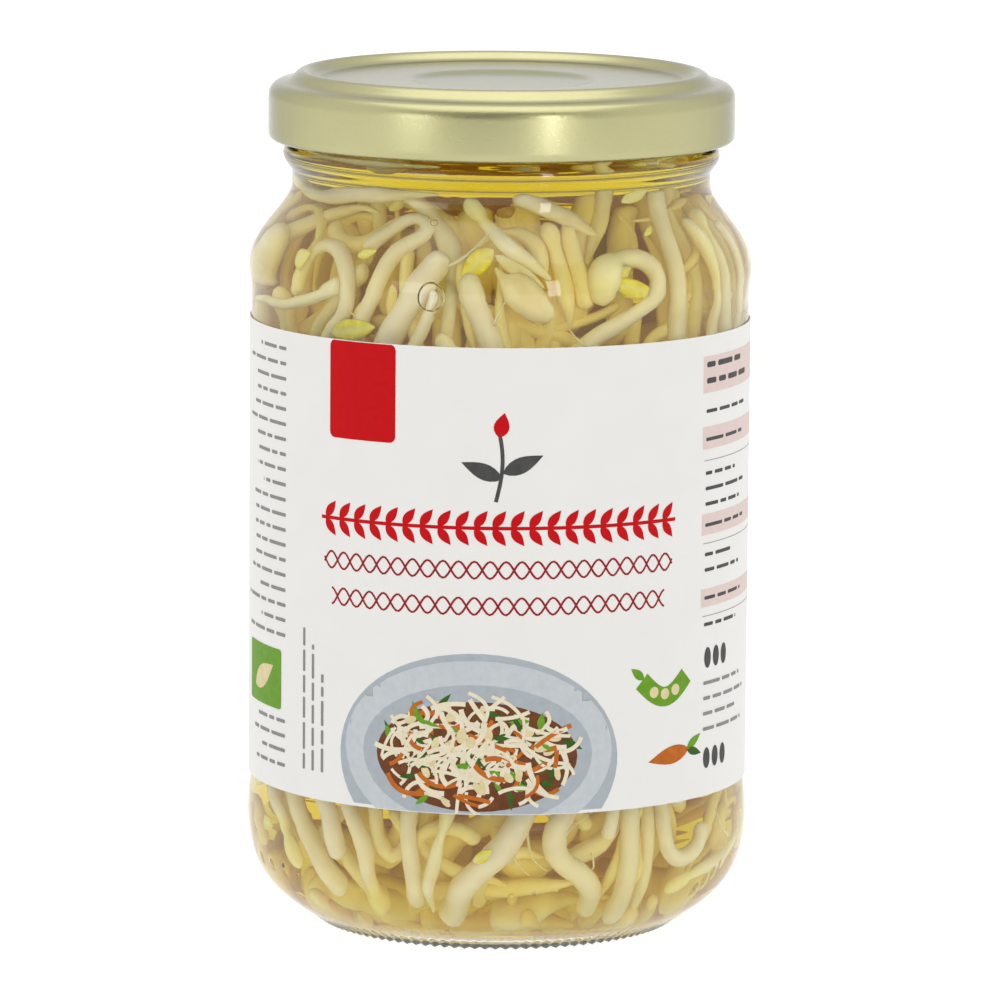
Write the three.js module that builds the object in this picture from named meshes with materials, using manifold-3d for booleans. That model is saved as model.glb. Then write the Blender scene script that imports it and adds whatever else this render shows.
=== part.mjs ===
// A glass jar of bean sprouts in brine: a twist-off jar with a recessed label panel, a pressed steel lid
// with its sealing compound, a wrap-round paper label, the brine, a packed tangle of sprouts and, against
// the glass, sprouts that lie free of each other. Millimetres, +Z up, origin at the centre of the foot.
import * as THREE from 'three';
import { mergeVertices } from 'three/addons/utils/BufferGeometryUtils.js';
import Module from 'manifold-3d';

const wasm = await Module();
wasm.setup();

// ---- driving dimensions ----
const JAR_SIDES = 40; // facets round the jar, alike on every turned piece so that they nest
const BODY_R = 35.9; // heel and shoulder, the widest rings
const PANEL_R = 35.5; // recessed label panel
const PANEL_Z = [20.9, 91.0];
const FOOT_R = [22.5, 25.5]; // flat bearing ring
const NECK_R = 29.8;
const BEAD = { r: 31.1, z: [108.4, 112.0] }; // transfer bead under the lid
const RIM_Z = 119.5;
const WALL = 2.3; // glass thickness
const MOUTH_R = 27.2;
const PUSH_UP = 1.8; // how far the underside rises inside the foot
const FLOOR_Z = 4.6; // inside floor

const THREAD = { starts: 4, span: 62, first: 42, z: 114.4, rise: 1.9, height: 1.5, out: 1.4 };

const LID_R = 33.2;
const LID_Z = [112.4, 122.2];
const SHEET = 0.4; // lid sheet with its lacquer
const CURL_R = 0.85;
const LUG = { span: 11, lead: 8, z: 113.2, thick: 0.8, reach: 2.5 };

const LABEL = { r: 35.6, thick: 0.15, z: [21.4, 87.15], gap: 4.6 };

const LINING = 0.8; // brine between the glass and the plain hole that the sprouts stand in
const BRINE_Z = 113.6; // surface of the brine
const FIT = 0.1; // gap between turned pieces that share their facets

const FRONT = 3.0; // depth of a free sprout's centre behind the brine's wall
const BACK = 8.0; // depth of the packed sprouts behind it
const CORE_R = 9.5; // middle of the packed tangle
const CLEAR = 0.35; // least gap between free sprouts
const FREE_COUNT = 22; // free sprouts laid by rule, besides those placed one by one
const PACKED_COUNT = 18; // the same for the packed tangle

const PLASTIC = 1.3247179572; // its inverse powers spread starting places evenly in two directions

// ---- solids ----
function toSolid(geometry) {
  const bare = geometry.clone();
  for (const name of Object.keys(bare.attributes)) {
    if (name !== 'position') bare.deleteAttribute(name);
  }
  const merged = mergeVertices(bare.index ? bare.toNonIndexed() : bare, 1e-4);
  const corners = merged.index.array;
  const triVerts = [];
  for (let i = 0; i < corners.length; i += 3) {
    const [a, b, c] = corners.subarray(i, i + 3);
    if (a !== b && b !== c && c !== a) triVerts.push(a, b, c);
  }
  return new wasm.Manifold(new wasm.Mesh({
    numProp: 3,
    vertProperties: new Float32Array(merged.attributes.position.array),
    triVerts: new Uint32Array(triVerts),
  }));
}

function toGeometry(solid) {
  const mesh = solid.getMesh();
  const geometry = new THREE.BufferGeometry();
  geometry.setAttribute('position', new THREE.BufferAttribute(mesh.vertProperties, 3));
  geometry.setIndex(new THREE.BufferAttribute(mesh.triVerts, 1));
  geometry.computeVertexNormals();
  return geometry;
}

// The largest body of a union: a loose scrap is dropped and a hollow that the union seals is filled.
function largest(solid) {
  const bodies = solid.decompose();
  return bodies.reduce((best, body) => (body.volume() > best.volume() ? body : best));
}

// A solid turned round +Z; a facet's edge lies at the front.
function turned(profile, sides = JAR_SIDES) {
  return toSolid(new THREE.LatheGeometry(profile, sides).rotateX(Math.PI / 2));
}

function point(r, z) {
  return new THREE.Vector2(r, z);
}

function bend(p0, p1, p2, p3, steps) {
  const curve = new THREE.CubicBezierCurve(point(...p0), point(...p1), point(...p2), point(...p3));
  return curve.getPoints(steps);
}

// A profile moved sideways to its left by a distance, corners mitred; points on the axis stay there.
function offset(profile, distance) {
  return profile.map((p, i) => {
    const before = profile[Math.max(i - 1, 0)];
    const after = profile[Math.min(i + 1, profile.length - 1)];
    const arriving = (i > 0 ? p.clone().sub(before) : after.clone().sub(p)).normalize();
    const leaving = (i < profile.length - 1 ? after.clone().sub(p) : arriving.clone()).normalize();
    const side = point(-arriving.y - leaving.y, arriving.x + leaving.x).normalize();
    const mitre = distance / Math.max(0.5, side.dot(point(-arriving.y, arriving.x)));
    const moved = p.clone().addScaledVector(side, mitre);
    if (p.x < 1e-6) moved.x = 0;
    return moved;
  });
}

// A bar bent round the axis: it starts at an angle, spans one and climbs; a tapered one gets low at its
// ends.
function arcBar({ start, span, r, z, rise = 0, steps, tapered = false }) {
  const geometry = new THREE.BoxGeometry(1, 1, 1, steps, 1, 1);
  const at = geometry.attributes.position;
  for (let i = 0; i < at.count; i++) {
    const along = at.getX(i) + 0.5;
    const full = tapered ? Math.min(1, 6 * Math.min(along, 1 - along) + 0.3) : 1;
    const radius = at.getY(i) < 0 ? r[0] + (r[1] - r[0]) * full : r[0];
    const height = at.getZ(i) > 0 ? z[1] - (1 - full) * (z[1] - z[0]) * 0.5 : z[0];
    const angle = THREE.MathUtils.degToRad(start + span * along);
    at.setXYZ(i, radius * Math.sin(angle), -radius * Math.cos(angle), height + rise * along);
  }
  return toSolid(geometry);
}

// ---- glass jar ----
const heel = bend([FOOT_R[1], 0], [FOOT_R[1] + 5.4, 4.0], [BODY_R, 5.5], [BODY_R, 16.5], 5);
const shoulder = bend([BODY_R, 94.1], [BODY_R, 99.8], [NECK_R, 102.8], [NECK_R, 106.4], 6);
const outside = [
  ...heel,
  point(PANEL_R, PANEL_Z[0]),
  point(PANEL_R, PANEL_Z[1]),
  ...shoulder,
  point(NECK_R, BEAD.z[0] - 0.4),
  point(BEAD.r, BEAD.z[0] + 1.4),
  point(BEAD.r, BEAD.z[1] - 0.9),
  point(NECK_R, BEAD.z[1]),
  point(NECK_R, RIM_Z - 1.0),
  point(NECK_R - 0.8, RIM_Z),
];
const ROOM_R = PANEL_R - WALL;
const inside = [
  point(0, FLOOR_Z),
  ...bend([20.5, FLOOR_Z - 1.4], [29.0, FLOOR_Z - 1.0], [ROOM_R, 7.0], [ROOM_R, 17.0], 3),
  ...bend([ROOM_R, 93.0], [ROOM_R, 98.0], [MOUTH_R, 101.5], [MOUTH_R, 105.5], 4),
  point(MOUTH_R, RIM_Z - 0.5),
];

function glassJar() {
  const profile = [
    point(0, PUSH_UP),
    point(FOOT_R[0] - 4, PUSH_UP - 0.4),
    point(FOOT_R[0], 0),
    ...outside,
    point(MOUTH_R + 0.5, RIM_Z),
    ...inside.toReversed(),
  ];
  let jar = turned(profile);
  for (let start = 0; start < THREAD.starts; start++) {
    jar = jar.add(arcBar({
      start: THREAD.first + start * (360 / THREAD.starts),
      span: THREAD.span,
      r: [NECK_R - 0.7, NECK_R + THREAD.out],
      z: [THREAD.z, THREAD.z + THREAD.height],
      rise: THREAD.rise,
      steps: 6,
      tapered: true,
    }));
  }
  return jar;
}

// ---- lid and its sealing compound ----
const lidOutside = [
  point(LID_R, LID_Z[0] + 1.4),
  point(LID_R, LID_Z[1] - 2.9),
  point(LID_R - 0.9, LID_Z[1] - 1.8),
  point(LID_R - 3.0, LID_Z[1] - 1.4),
  point(28.8, LID_Z[1]),
  point(27.6, LID_Z[1]),
  point(26.3, LID_Z[1] - 1.25),
  point(13.3, LID_Z[1] - 1.25),
  point(11.3, LID_Z[1] - 1.8),
  point(0, LID_Z[1] - 1.8),
];

function lidCap() {
  const curl = new THREE.Path();
  curl.absarc(LID_R - CURL_R, LID_Z[0] + CURL_R, CURL_R, Math.PI / 2, Math.PI * 2, false);
  const profile = [
    ...curl.getPoints(3).slice(0, -1),
    ...lidOutside,
    ...offset(lidOutside, SHEET).toReversed(),
  ];
  profile.push(profile[0].clone());
  let lid = turned(profile);
  for (let start = 0; start < THREAD.starts; start++) {
    lid = lid.add(arcBar({
      start: THREAD.first + LUG.lead - LUG.span / 2 + start * (360 / THREAD.starts),
      span: LUG.span,
      r: [LID_R - 0.6 - LUG.reach, LID_R - 0.6],
      z: [LUG.z, LUG.z + LUG.thick],
      steps: 2,
    }));
  }
  return lid;
}

// The compound fills the lid's channel, just clear of the rim.
function sealingRing() {
  const bottom = RIM_Z + 0.3;
  const channel = offset(lidOutside, SHEET + FIT).slice(3, 7);
  const profile = [point(channel.at(-1).x, bottom), point(channel[0].x, bottom), ...channel];
  profile.push(profile[0].clone());
  return turned(profile);
}

// ---- label ----
function wrapLabel() {
  const [bottom, top] = LABEL.z;
  const profile = [
    point(LABEL.r, bottom),
    point(LABEL.r + LABEL.thick, bottom),
    point(LABEL.r + LABEL.thick, top),
    point(LABEL.r, top),
    point(LABEL.r, bottom),
  ];
  const open = new THREE.BoxGeometry(LABEL.gap, 10, top - bottom + 2);
  open.translate(0, LABEL.r, (bottom + top) / 2);
  return turned(profile).subtract(toSolid(open));
}

// ---- brine, with one plain hole for the sprouts ----
const brineOutside = offset(inside, FIT).filter((p) => p.y < BRINE_Z);
brineOutside.push(point(MOUTH_R - FIT, BRINE_Z));
const hole = offset(inside, FIT + LINING).filter((p) => p.y < BRINE_Z);
hole.push(point(MOUTH_R - FIT - LINING, BRINE_Z));

function brine() {
  return turned([...brineOutside, ...hole.toReversed()]);
}

// ---- where a sprout may lie ----
const wall = new THREE.Path(hole).getSpacedPoints(400);
const SIDE_WALL_R = 24; // the wall stands outside this radius, and the floor lies inside it

// Radius at a height where the centre of a round stem keeps a distance from the hole's wall.
function roomRadius(z, depth) {
  const inscribed = Math.cos(Math.PI / JAR_SIDES);
  let room = Infinity;
  for (const p of wall) {
    const rise = Math.abs(p.y - z);
    if (rise > depth || p.x < SIDE_WALL_R) continue;
    room = Math.min(room, p.x * inscribed - Math.sqrt(depth ** 2 - rise ** 2));
  }
  return room;
}

// A place in the jar from its angle off the front, its height and its depth behind the wall.
function place([azimuth, z, depth]) {
  const angle = THREE.MathUtils.degToRad(azimuth);
  const r = roomRadius(z, depth);
  return new THREE.Vector3(r * Math.sin(angle), -r * Math.cos(angle), z);
}

// Glass and brine bend the view of what lies in them. A spot written as it is seen from the front is spread
// sideways and sunk, more the deeper it lies, and most behind the curve of the shoulder, but not into the
// floor.
const LENS = {
  spread: 0.035,
  sink: 0.1,
  lowest: 6.6,
  heel: { top: 20, sink: 0.13 },
  shoulder: { middle: 101, half: 6.5, sink: [0.9, 0.2] },
};

function fromSeen([azimuth, z, depth]) {
  const { middle, half, sink } = LENS.shoulder;
  const away = Math.min(1, Math.abs(z - middle) / half);
  const behindShoulder = Math.cos((away * Math.PI) / 2) * (sink[0] + sink[1] * depth);
  const behindHeel = z < LENS.heel.top ? LENS.heel.sink * depth : 0;
  const sunk = LENS.sink * depth + behindShoulder + behindHeel;
  return [azimuth * (1 + LENS.spread * depth), Math.max(z - sunk, LENS.lowest), depth];
}

// ---- one sprout ----
const HEADS = {
  bean: { length: 9, girth: 1.42, neck: 0.62 }, // closed seed leaves
  knob: { length: 6.5, girth: 1.7, neck: 0.8 },
  bud: { length: 5, girth: 1.15, neck: 0.72 },
  none: { length: 0, girth: 1, neck: 1 },
};

// Radius of a sprout a way along it: head, neck, stem, and a root that thins over its last stretch.
function girth(s, length, { head, r, root }) {
  const { length: headLength, girth: bulge, neck } = HEADS[head];
  let radius = r;
  if (s < headLength) radius = r * bulge * Math.sin(Math.PI * (0.12 + (0.76 * s) / headLength) ** 0.9);
  else if (s < headLength + 5) radius = r * (neck + (1 - neck) * ((s - headLength) / 5));
  const toTip = length - s;
  return toTip < root ? radius * (0.25 + 0.75 * (toTip / root)) : radius;
}

// Distances along a curve where a ring is needed: closer together where it bends.
function stations(curve, length) {
  const found = [0];
  for (let s = 0; s < length - 0.5;) {
    const tangent = curve.getTangentAt(s / length);
    let step = Math.min(6.5, length - s);
    while (step > 2.2 && tangent.angleTo(curve.getTangentAt((s + step) / length)) > 0.62) step *= 0.85;
    s += step;
    found.push(Math.min(s, length));
  }
  found[found.length - 1] = length;
  return found;
}

// A lathe-turned spindle bent along the sprout's curve.
function stemForm(sprout) {
  const { curve, length } = sprout;
  const head = HEADS[sprout.head].length;
  const headStops = head > 0 ? [0.12 * head, 0.5 * head, head] : [];
  const rings = [...stations(curve, length), ...headStops].sort((a, b) => a - b)
    .filter((s, i, all) => i === 0 || s - all[i - 1] > 0.9);
  const ends = [0, ...rings, rings.at(-1)];
  const isEnd = (i) => i === 0 || i === ends.length - 1;
  const spindle = ends.map((s, i) => point(isEnd(i) ? 0 : girth(s, length, sprout), i));
  const geometry = new THREE.LatheGeometry(spindle, sprout.sides);
  const at = geometry.attributes.position;
  const frames = [];
  let across = new THREE.Vector3(1, 0.3, 0.2);
  for (const s of ends) {
    const tangent = curve.getTangentAt(s / length);
    across = across.clone().addScaledVector(tangent, -across.dot(tangent)).normalize();
    frames.push({ centre: curve.getPointAt(s / length), across, over: tangent.clone().cross(across) });
  }
  for (let i = 0; i < at.count; i++) {
    const { centre, across: u, over: v } = frames[i % ends.length];
    const spot = centre.clone().addScaledVector(u, at.getZ(i)).addScaledVector(v, at.getX(i));
    at.setXYZ(i, spot.x, spot.y, spot.z);
  }
  return toSolid(geometry);
}

// A leaflet or a split seed leaf: a flattened spindle from one place to another, flat side to the glass.
function blade([from, to, width, thick = 0.9]) {
  const [a, b] = [place(from), place(to)];
  const middle = a.clone().add(b).multiplyScalar(0.5);
  const along = b.clone().sub(a);
  const outward = new THREE.Vector3(middle.x, middle.y, 0).normalize();
  const side = along.clone().cross(outward).normalize();
  const normal = side.clone().cross(along).normalize();
  const basis = new THREE.Matrix4().makeBasis(
    side.multiplyScalar(width / 2),
    along.multiplyScalar(0.5),
    normal.negate().multiplyScalar(thick / 2),
  );
  if (basis.determinant() < 0) basis.multiply(new THREE.Matrix4().makeScale(1, 1, -1));
  return toSolid(new THREE.SphereGeometry(1, 6, 4).applyMatrix4(basis.setPosition(middle)));
}

// A sprout from its route, a list of places from the head on.
function makeSprout({ name, head = 'none', r, root = 0, route, blades = [], sides = 6 }) {
  const curve = new THREE.CatmullRomCurve3(route.map(place), false, 'centripetal');
  const length = curve.getLength();
  const beads = curve.getSpacedPoints(Math.ceil(length / BEAD_STEP));
  return { name, head, r, root, curve, length, sides, blades, beads };
}

// A sprout whose route is written as seen; a spot without a depth of its own takes the sprout's.
function seenSprout({ depth = FRONT, route, blades = [], ...sprout }) {
  const full = (spot) => fromSeen(spot.length > 2 ? spot : [...spot, depth]);
  return makeSprout({
    ...sprout,
    route: route.map(full),
    blades: blades.map(([from, to, ...size]) => [full(from), full(to), ...size]),
  });
}

function sproutSolid(sprout) {
  return sprout.blades.reduce((solid, one) => solid.add(blade(one)), stemForm(sprout));
}

const BEAD_STEP = 1.2; // distances between sprouts are tested at places this far apart

// Whether a new sprout keeps clear of others and of itself.
function isClear(sprout, others) {
  const widest = (one) => one.r * Math.max(1, HEADS[one.head].girth);
  for (const other of others) {
    const apart = widest(sprout) + widest(other) + CLEAR;
    for (const a of sprout.beads) {
      if (other.beads.some((b) => a.distanceToSquared(b) < apart * apart)) return false;
    }
  }
  const own = 2 * widest(sprout) + CLEAR;
  const skip = Math.ceil((own * 1.6) / BEAD_STEP);
  return !sprout.beads.some((a, i) => sprout.beads.slice(i + skip).some((b) => a.distanceTo(b) < own));
}

// Mulberry32, a small seeded generator, so that every build lays the same tangle.
function seeded(seed) {
  let state = seed;
  return () => {
    state = (state + 0x6d2b79f5) | 0;
    let t = Math.imul(state ^ (state >>> 15), 1 | state);
    t = (t + Math.imul(t ^ (t >>> 7), 61 | t)) ^ t;
    return ((t ^ (t >>> 14)) >>> 0) / 4294967296;
  };
}

const [LOWEST, HIGHEST] = [10.5, 108]; // heights of a wild sprout's centre

// A sprout laid by rule: a crook under the head, then a stem that wanders; null if it leaves the jar.
function wildSprout(random, { depth, name, sides, from }) {
  const step = 4.6;
  let [azimuth, z] = from;
  let heading = random() * Math.PI * 2;
  const turn = (random() < 0.5 ? -1 : 1) * (random() < 0.65 ? 0.85 : 0.25);
  const wander = (random() - 0.5) * 0.35;
  const steps = 7 + Math.floor(random() * 7);
  const route = [[azimuth, z]];
  for (let i = 0; i < steps; i++) {
    heading += i > 0 && i < 4 ? turn : wander + (random() - 0.5) * 0.3;
    const r = roomRadius(z, depth);
    azimuth += THREE.MathUtils.radToDeg((Math.cos(heading) * step) / r);
    z += Math.sin(heading) * step;
    if (z < LOWEST || z > HIGHEST) return null;
    route.push([azimuth, z]);
  }
  const head = random() < 0.55 ? 'bean' : 'bud';
  const [r, root] = [1.65 + 0.4 * random(), 9 + 6 * random()];
  return makeSprout({ name, head, r, root, route: route.map((spot) => [...spot, depth]), sides });
}

// ---- sprouts that lie free against the glass, placed one by one ----
const placed = [
  {
    name: 'sprout_left_loop', head: 'bud', r: 1.05, root: 8,
    route: [
      [-58.6, 92.5], [-55.1, 95.5], [-53.4, 97.8], [-50.2, 98.7], [-46, 98.5], [-42.3, 97.2],
      [-39.5, 95], [-39, 92.7], [-40.4, 90.2], [-44, 87.8], [-48, 84], [-51, 79],
    ],
  },
  {
    name: 'sprout_hairpin', r: 1.15, root: 10,
    route: [
      [-36.9, 99], [-34.4, 100.7], [-31, 102.2], [-27.6, 103.5], [-24, 103.9], [-21, 103],
      [-21.4, 101.7], [-23.6, 100.9], [-27.1, 99.6], [-29.1, 97.8], [-30.5, 95.1], [-32.8, 92.2],
      [-34.3, 90.2], [-36.5, 86], [-38.5, 81], [-40, 76],
    ],
  },
  {
    name: 'sprout_slanted', r: 1.8, root: 12,
    route: [
      [-14.2, 99.4], [-17.6, 96.8], [-20.8, 94], [-23.8, 91], [-26.6, 88], [-29.5, 84], [-31, 78],
      [-31, 71],
    ],
  },
  {
    name: 'sprout_yellow_leaf', r: 1.5, root: 10,
    route: [
      [-8.6, 96.9], [-6.6, 94], [-4.6, 91.3], [-2.6, 88.4], [-0.6, 84.5], [1.5, 79], [2, 72],
    ],
    blades: [
      [[-1.8, 100.2], [-9.6, 96.6], 3, 1.1],
    ],
  },
  {
    name: 'sprout_split_bean', head: 'bean', r: 1.55, root: 3,
    route: [
      [12.2, 90.8], [8.6, 92.6], [4.6, 94.4], [1.2, 96], [-1.4, 97.9],
    ],
    blades: [
      [[-1.4, 99.5], [10.6, 95], 2, 1.2],
    ],
  },
  {
    name: 'sprout_right_loop', head: 'knob', r: 1.3, root: 8,
    route: [
      [25, 92.8], [25.1, 95.1], [27.8, 97.2], [31.8, 98.3], [36.4, 98.3], [40.1, 97], [41, 95.2],
      [39.4, 93.4], [35.4, 91.9], [29.4, 89.9], [22.8, 87.9], [18, 85.6], [14, 82.6], [11, 78],
    ],
    blades: [
      [[26.6, 95.9], [34, 97.3], 2.2, 0.9],
      [[27.4, 95.3], [39.5, 93.8], 1.7, 0.9],
    ],
  },
  {
    name: 'sprout_neck_curve', r: 1.5, root: 4,
    route: [
      [4, 107.8], [10.9, 106.2], [16.6, 105], [21.6, 103.6], [26.6, 101.6],
    ],
  },
  {
    name: 'sprout_upright', r: 1.35, root: 10,
    route: [
      [51.5, 107.5], [51.4, 104], [48.6, 98.7], [47.2, 94.2], [46.8, 89], [46.6, 83], [46, 76], [44, 70],
    ],
  },
  {
    name: 'sprout_side', head: 'bud', r: 1.5, root: 10,
    route: [
      [70, 103], [67.5, 98.5], [66.6, 94], [67, 88], [67.5, 82], [66, 75],
    ],
  },
  {
    name: 'sprout_heel_right', r: 1.4, root: 0,
    route: [
      [34.6, 33], [34, 28], [33.7, 22.4], [33.7, 18.3], [34.1, 13.5], [35.2, 9.4], [37.5, 6.8],
    ],
  },
  {
    name: 'sprout_heel_slanted', r: 1.85, root: 10,
    route: [
      [-15.2, 6.6], [-12, 8.4], [-8, 11.1], [-2.3, 14.1], [2.1, 16.6], [6, 20.4], [9, 26], [10.5, 33],
    ],
  },
  {
    name: 'sprout_heel_upright', r: 1.3, root: 8,
    route: [
      [-22, 8.8], [-20.4, 11.4], [-20.9, 14.6], [-21.4, 18], [-20.8, 22], [-20, 29], [-19, 37],
    ],
  },
  {
    name: 'sprout_heel_left', head: 'bud', r: 1.3, root: 10,
    route: [
      [-35.6, 7.8], [-33, 11.8], [-33.4, 14.9], [-36.1, 18.5], [-38.4, 21.1], [-39.6, 24], [-41, 29],
      [-42, 36],
    ],
  },
  {
    name: 'sprout_heel_hook', r: 1.5, root: 10,
    route: [
      [27.5, 8.2], [24.5, 10.6], [20.6, 12.6], [16.9, 14], [14.3, 15.8], [14.2, 18.2], [16, 20.2],
      [19, 23], [22, 28], [24, 34],
    ],
  },
  {
    name: 'sprout_heel_far_left', r: 1.4, root: 9,
    route: [
      [-43.5, 9.2], [-46.5, 11.6], [-49.6, 14], [-53, 16.2], [-56, 19], [-58.5, 23], [-61, 30],
      [-62, 36],
    ],
  },
].map(seenSprout);

// ---- sprouts of the packed tangle, placed one by one; the rest of it is laid by rule ----
const packed = [
  {
    r: 1.9,
    route: [
      [-76, 101.5], [-66, 101.8], [-57, 101.4], [-50, 99.8], [-43.5, 97.2], [-41.6, 93.8], [-44, 90.8],
      [-50, 88.2], [-58, 85], [-66, 80, 13],
    ],
  },
  {
    head: 'bean', r: 1.5,
    route: [
      [-38.4, 104.9], [-37.4, 107.4], [-40.5, 109], [-44.4, 108.4], [-46.4, 106], [-44.6, 103.6],
      [-41, 101, 9], [-38, 97, 13],
    ],
  },
  {
    r: 1.9,
    route: [
      [-31, 106.4], [-25, 105.8], [-19, 104.1], [-13.6, 101.6], [-10, 98], [-9, 93, 10], [-8, 88, 14],
    ],
  },
  {
    r: 1.9,
    route: [
      [-13.4, 99.6], [-13, 95], [-12.8, 90], [-12, 84], [-9, 78, 13],
    ],
  },
  {
    head: 'bean', r: 1.7,
    route: [
      [-5, 106.2], [-8.4, 103.4], [-5, 100], [1, 97, 9], [4, 92, 13],
    ],
  },
  {
    r: 1.8,
    route: [
      [8, 107], [4, 104.4], [0.5, 101.8], [-3, 99.4], [-6, 95, 10], [-7, 90, 14],
    ],
  },
  {
    r: 1.6,
    route: [
      [9, 108], [8.4, 103], [10.4, 99.2], [12.6, 95.8], [14, 91], [14, 86, 12],
    ],
  },
  {
    r: 1.8,
    route: [
      [2, 95.5], [3, 91.6], [5, 87.6], [7, 82], [8, 76, 13],
    ],
  },
  {
    r: 2.0,
    route: [
      [30, 108], [26, 104.6], [21, 101.4], [18, 97], [17.5, 92], [19, 86, 12],
    ],
  },
  {
    r: 1.9,
    route: [
      [54, 107.5], [51.4, 103], [49.4, 98.6], [48.6, 94], [48, 89], [46.6, 83], [44, 76, 13],
    ],
  },
  {
    r: 1.7,
    route: [
      [44, 105.4], [39, 102.6], [34.6, 99.6], [31, 95], [29, 89], [27, 83, 12],
    ],
  },
  {
    r: 1.9,
    route: [
      [66, 107.5], [64, 102], [62.4, 96], [62, 90], [61, 84, 12],
    ],
  },
  {
    r: 1.9,
    route: [
      [-47, 16], [-43.6, 12.6], [-43, 10.6, 9], [-44, 14, 13], [-46, 20, 17],
    ],
  },
  {
    r: 1.7,
    route: [
      [-33.6, 22], [-32, 17.4], [-28.4, 14.8], [-24.6, 16.6], [-21, 20.2], [-17, 26, 12],
    ],
  },
  {
    r: 1.8,
    route: [
      [4, 21], [-4, 19.6], [-10.6, 17.4], [-16, 14.4], [-19, 12, 11], [-20, 14, 16],
    ],
  },
  {
    head: 'bean', r: 1.6,
    route: [
      [21, 17.2], [26, 18.8], [31.4, 21.4], [36, 25], [39, 31, 12],
    ],
  },
  {
    r: 2.0,
    route: [
      [44, 17], [45.6, 13.4], [48, 10.8], [53, 10.4], [58, 12.4, 10], [60, 18, 15],
    ],
  },
].map((one) => seenSprout({ depth: BACK, sides: 5, ...one }));

// ---- the sprouts as solids ----
function freeSprouts(count) {
  const random = seeded(20);
  const all = [...placed];
  for (let attempt = 0; attempt < 6000 && all.length < placed.length + count; attempt++) {
    const name = `sprout_${String(all.length - placed.length + 1).padStart(2, '0')}`;
    const from = [random() * 360, LOWEST + random() * (HIGHEST - LOWEST)];
    const sprout = wildSprout(random, { depth: FRONT, name, sides: 5, from });
    if (sprout && isClear(sprout, all)) all.push(sprout);
  }
  return all;
}

// The same sprout with its last place moved into the core.
function rooted(sprout) {
  const spots = sprout.curve.points.map((spot) => spot.clone());
  const last = spots.at(-1);
  const inward = (CORE_R - 3) / Math.hypot(last.x, last.y);
  last.set(last.x * inward, last.y * inward, THREE.MathUtils.clamp(last.z, 14, 98));
  const curve = new THREE.CatmullRomCurve3(spots, false, 'centripetal');
  return { ...sprout, curve, length: curve.getLength(), root: 0 };
}

// The packed sprouts with a smaller core that they are rooted in and stand out of.
function packedTangle(count) {
  const random = seeded(7);
  const core = [
    point(0, 9),
    point(CORE_R - 3, 10),
    point(CORE_R, 18),
    point(CORE_R, 92),
    point(CORE_R - 2, 102),
    point(0, 105),
  ];
  const laid = [];
  while (laid.length < count) {
    const turn = (laid.length / PLASTIC) % 1;
    const rise = (laid.length / PLASTIC ** 2 + 0.1 * random()) % 1;
    const from = [360 * turn, 14 + 90 * rise];
    const sprout = wildSprout(random, { depth: BACK + 4 * random(), sides: 5, from });
    if (sprout) laid.push(sprout);
  }
  const solids = [...packed, ...laid].map(rooted).map(sproutSolid);
  return largest(solids.reduce((tangle, one) => tangle.add(one), turned(core, 10)));
}

// ---- the object ----
const finish = {
  glass: new THREE.MeshStandardMaterial({
    color: 0xdfe8dc,
    roughness: 0.05,
    transparent: true,
    opacity: 0.22,
  }),
  brine: new THREE.MeshStandardMaterial({
    color: 0xb8962a,
    roughness: 0.1,
    transparent: true,
    opacity: 0.3,
  }),
  sprout: new THREE.MeshStandardMaterial({ color: 0xe6dcb8, roughness: 0.45 }),
  tangle: new THREE.MeshStandardMaterial({ color: 0xd8cb9a, roughness: 0.5 }),
  lid: new THREE.MeshStandardMaterial({ color: 0xcdc896, roughness: 0.35, metalness: 0.8 }),
  seal: new THREE.MeshStandardMaterial({ color: 0xe9e6dc, roughness: 0.6 }),
  paper: new THREE.MeshStandardMaterial({ color: 0xefeeec, roughness: 0.7 }),
};

const jar = new THREE.Group();

function addPiece(name, solid, material) {
  const mesh = new THREE.Mesh(toGeometry(solid), material);
  mesh.name = name;
  jar.add(mesh);
}

addPiece('glass_jar', glassJar(), finish.glass);
addPiece('lid_cap', lidCap(), finish.lid);
addPiece('sealing_ring', sealingRing(), finish.seal);
addPiece('wrap_label', wrapLabel(), finish.paper);
addPiece('brine', brine(), finish.brine);
addPiece('sprout_tangle', packedTangle(PACKED_COUNT), finish.tangle);
for (const sprout of freeSprouts(FREE_COUNT)) {
  addPiece(sprout.name, sproutSolid(sprout), finish.sprout);
}

export default jar;
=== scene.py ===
"""Dresses a packed jar of bean sprouts: moulded glass, a lacquered twist-off lid, a printed paper label,
brine and sprouts. Shapes are worked out in millimetres and stored in metres, +Z up, foot on the floor."""

import math
import random

import bmesh
import bpy
import numpy as np
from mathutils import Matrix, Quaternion, Vector
from mathutils.geometry import tessellate_polygon


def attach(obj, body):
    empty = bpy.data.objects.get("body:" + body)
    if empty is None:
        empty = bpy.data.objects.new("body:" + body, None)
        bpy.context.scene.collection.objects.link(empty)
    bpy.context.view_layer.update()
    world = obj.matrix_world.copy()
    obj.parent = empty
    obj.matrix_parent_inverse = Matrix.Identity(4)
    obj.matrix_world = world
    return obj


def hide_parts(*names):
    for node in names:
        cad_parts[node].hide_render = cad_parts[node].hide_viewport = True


bl_info = {
    "name": "Jar of Bean Sprouts",
    "version": (1, 0, 0),
    "blender": (4, 5, 0),
    "location": "3D Viewport > Sidebar > Sprout Jar",
    "description": "Builds the glass, lid, label, brine and sprouts of a preserve jar on its packed frame",
    "category": "Add Mesh",
}

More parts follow.
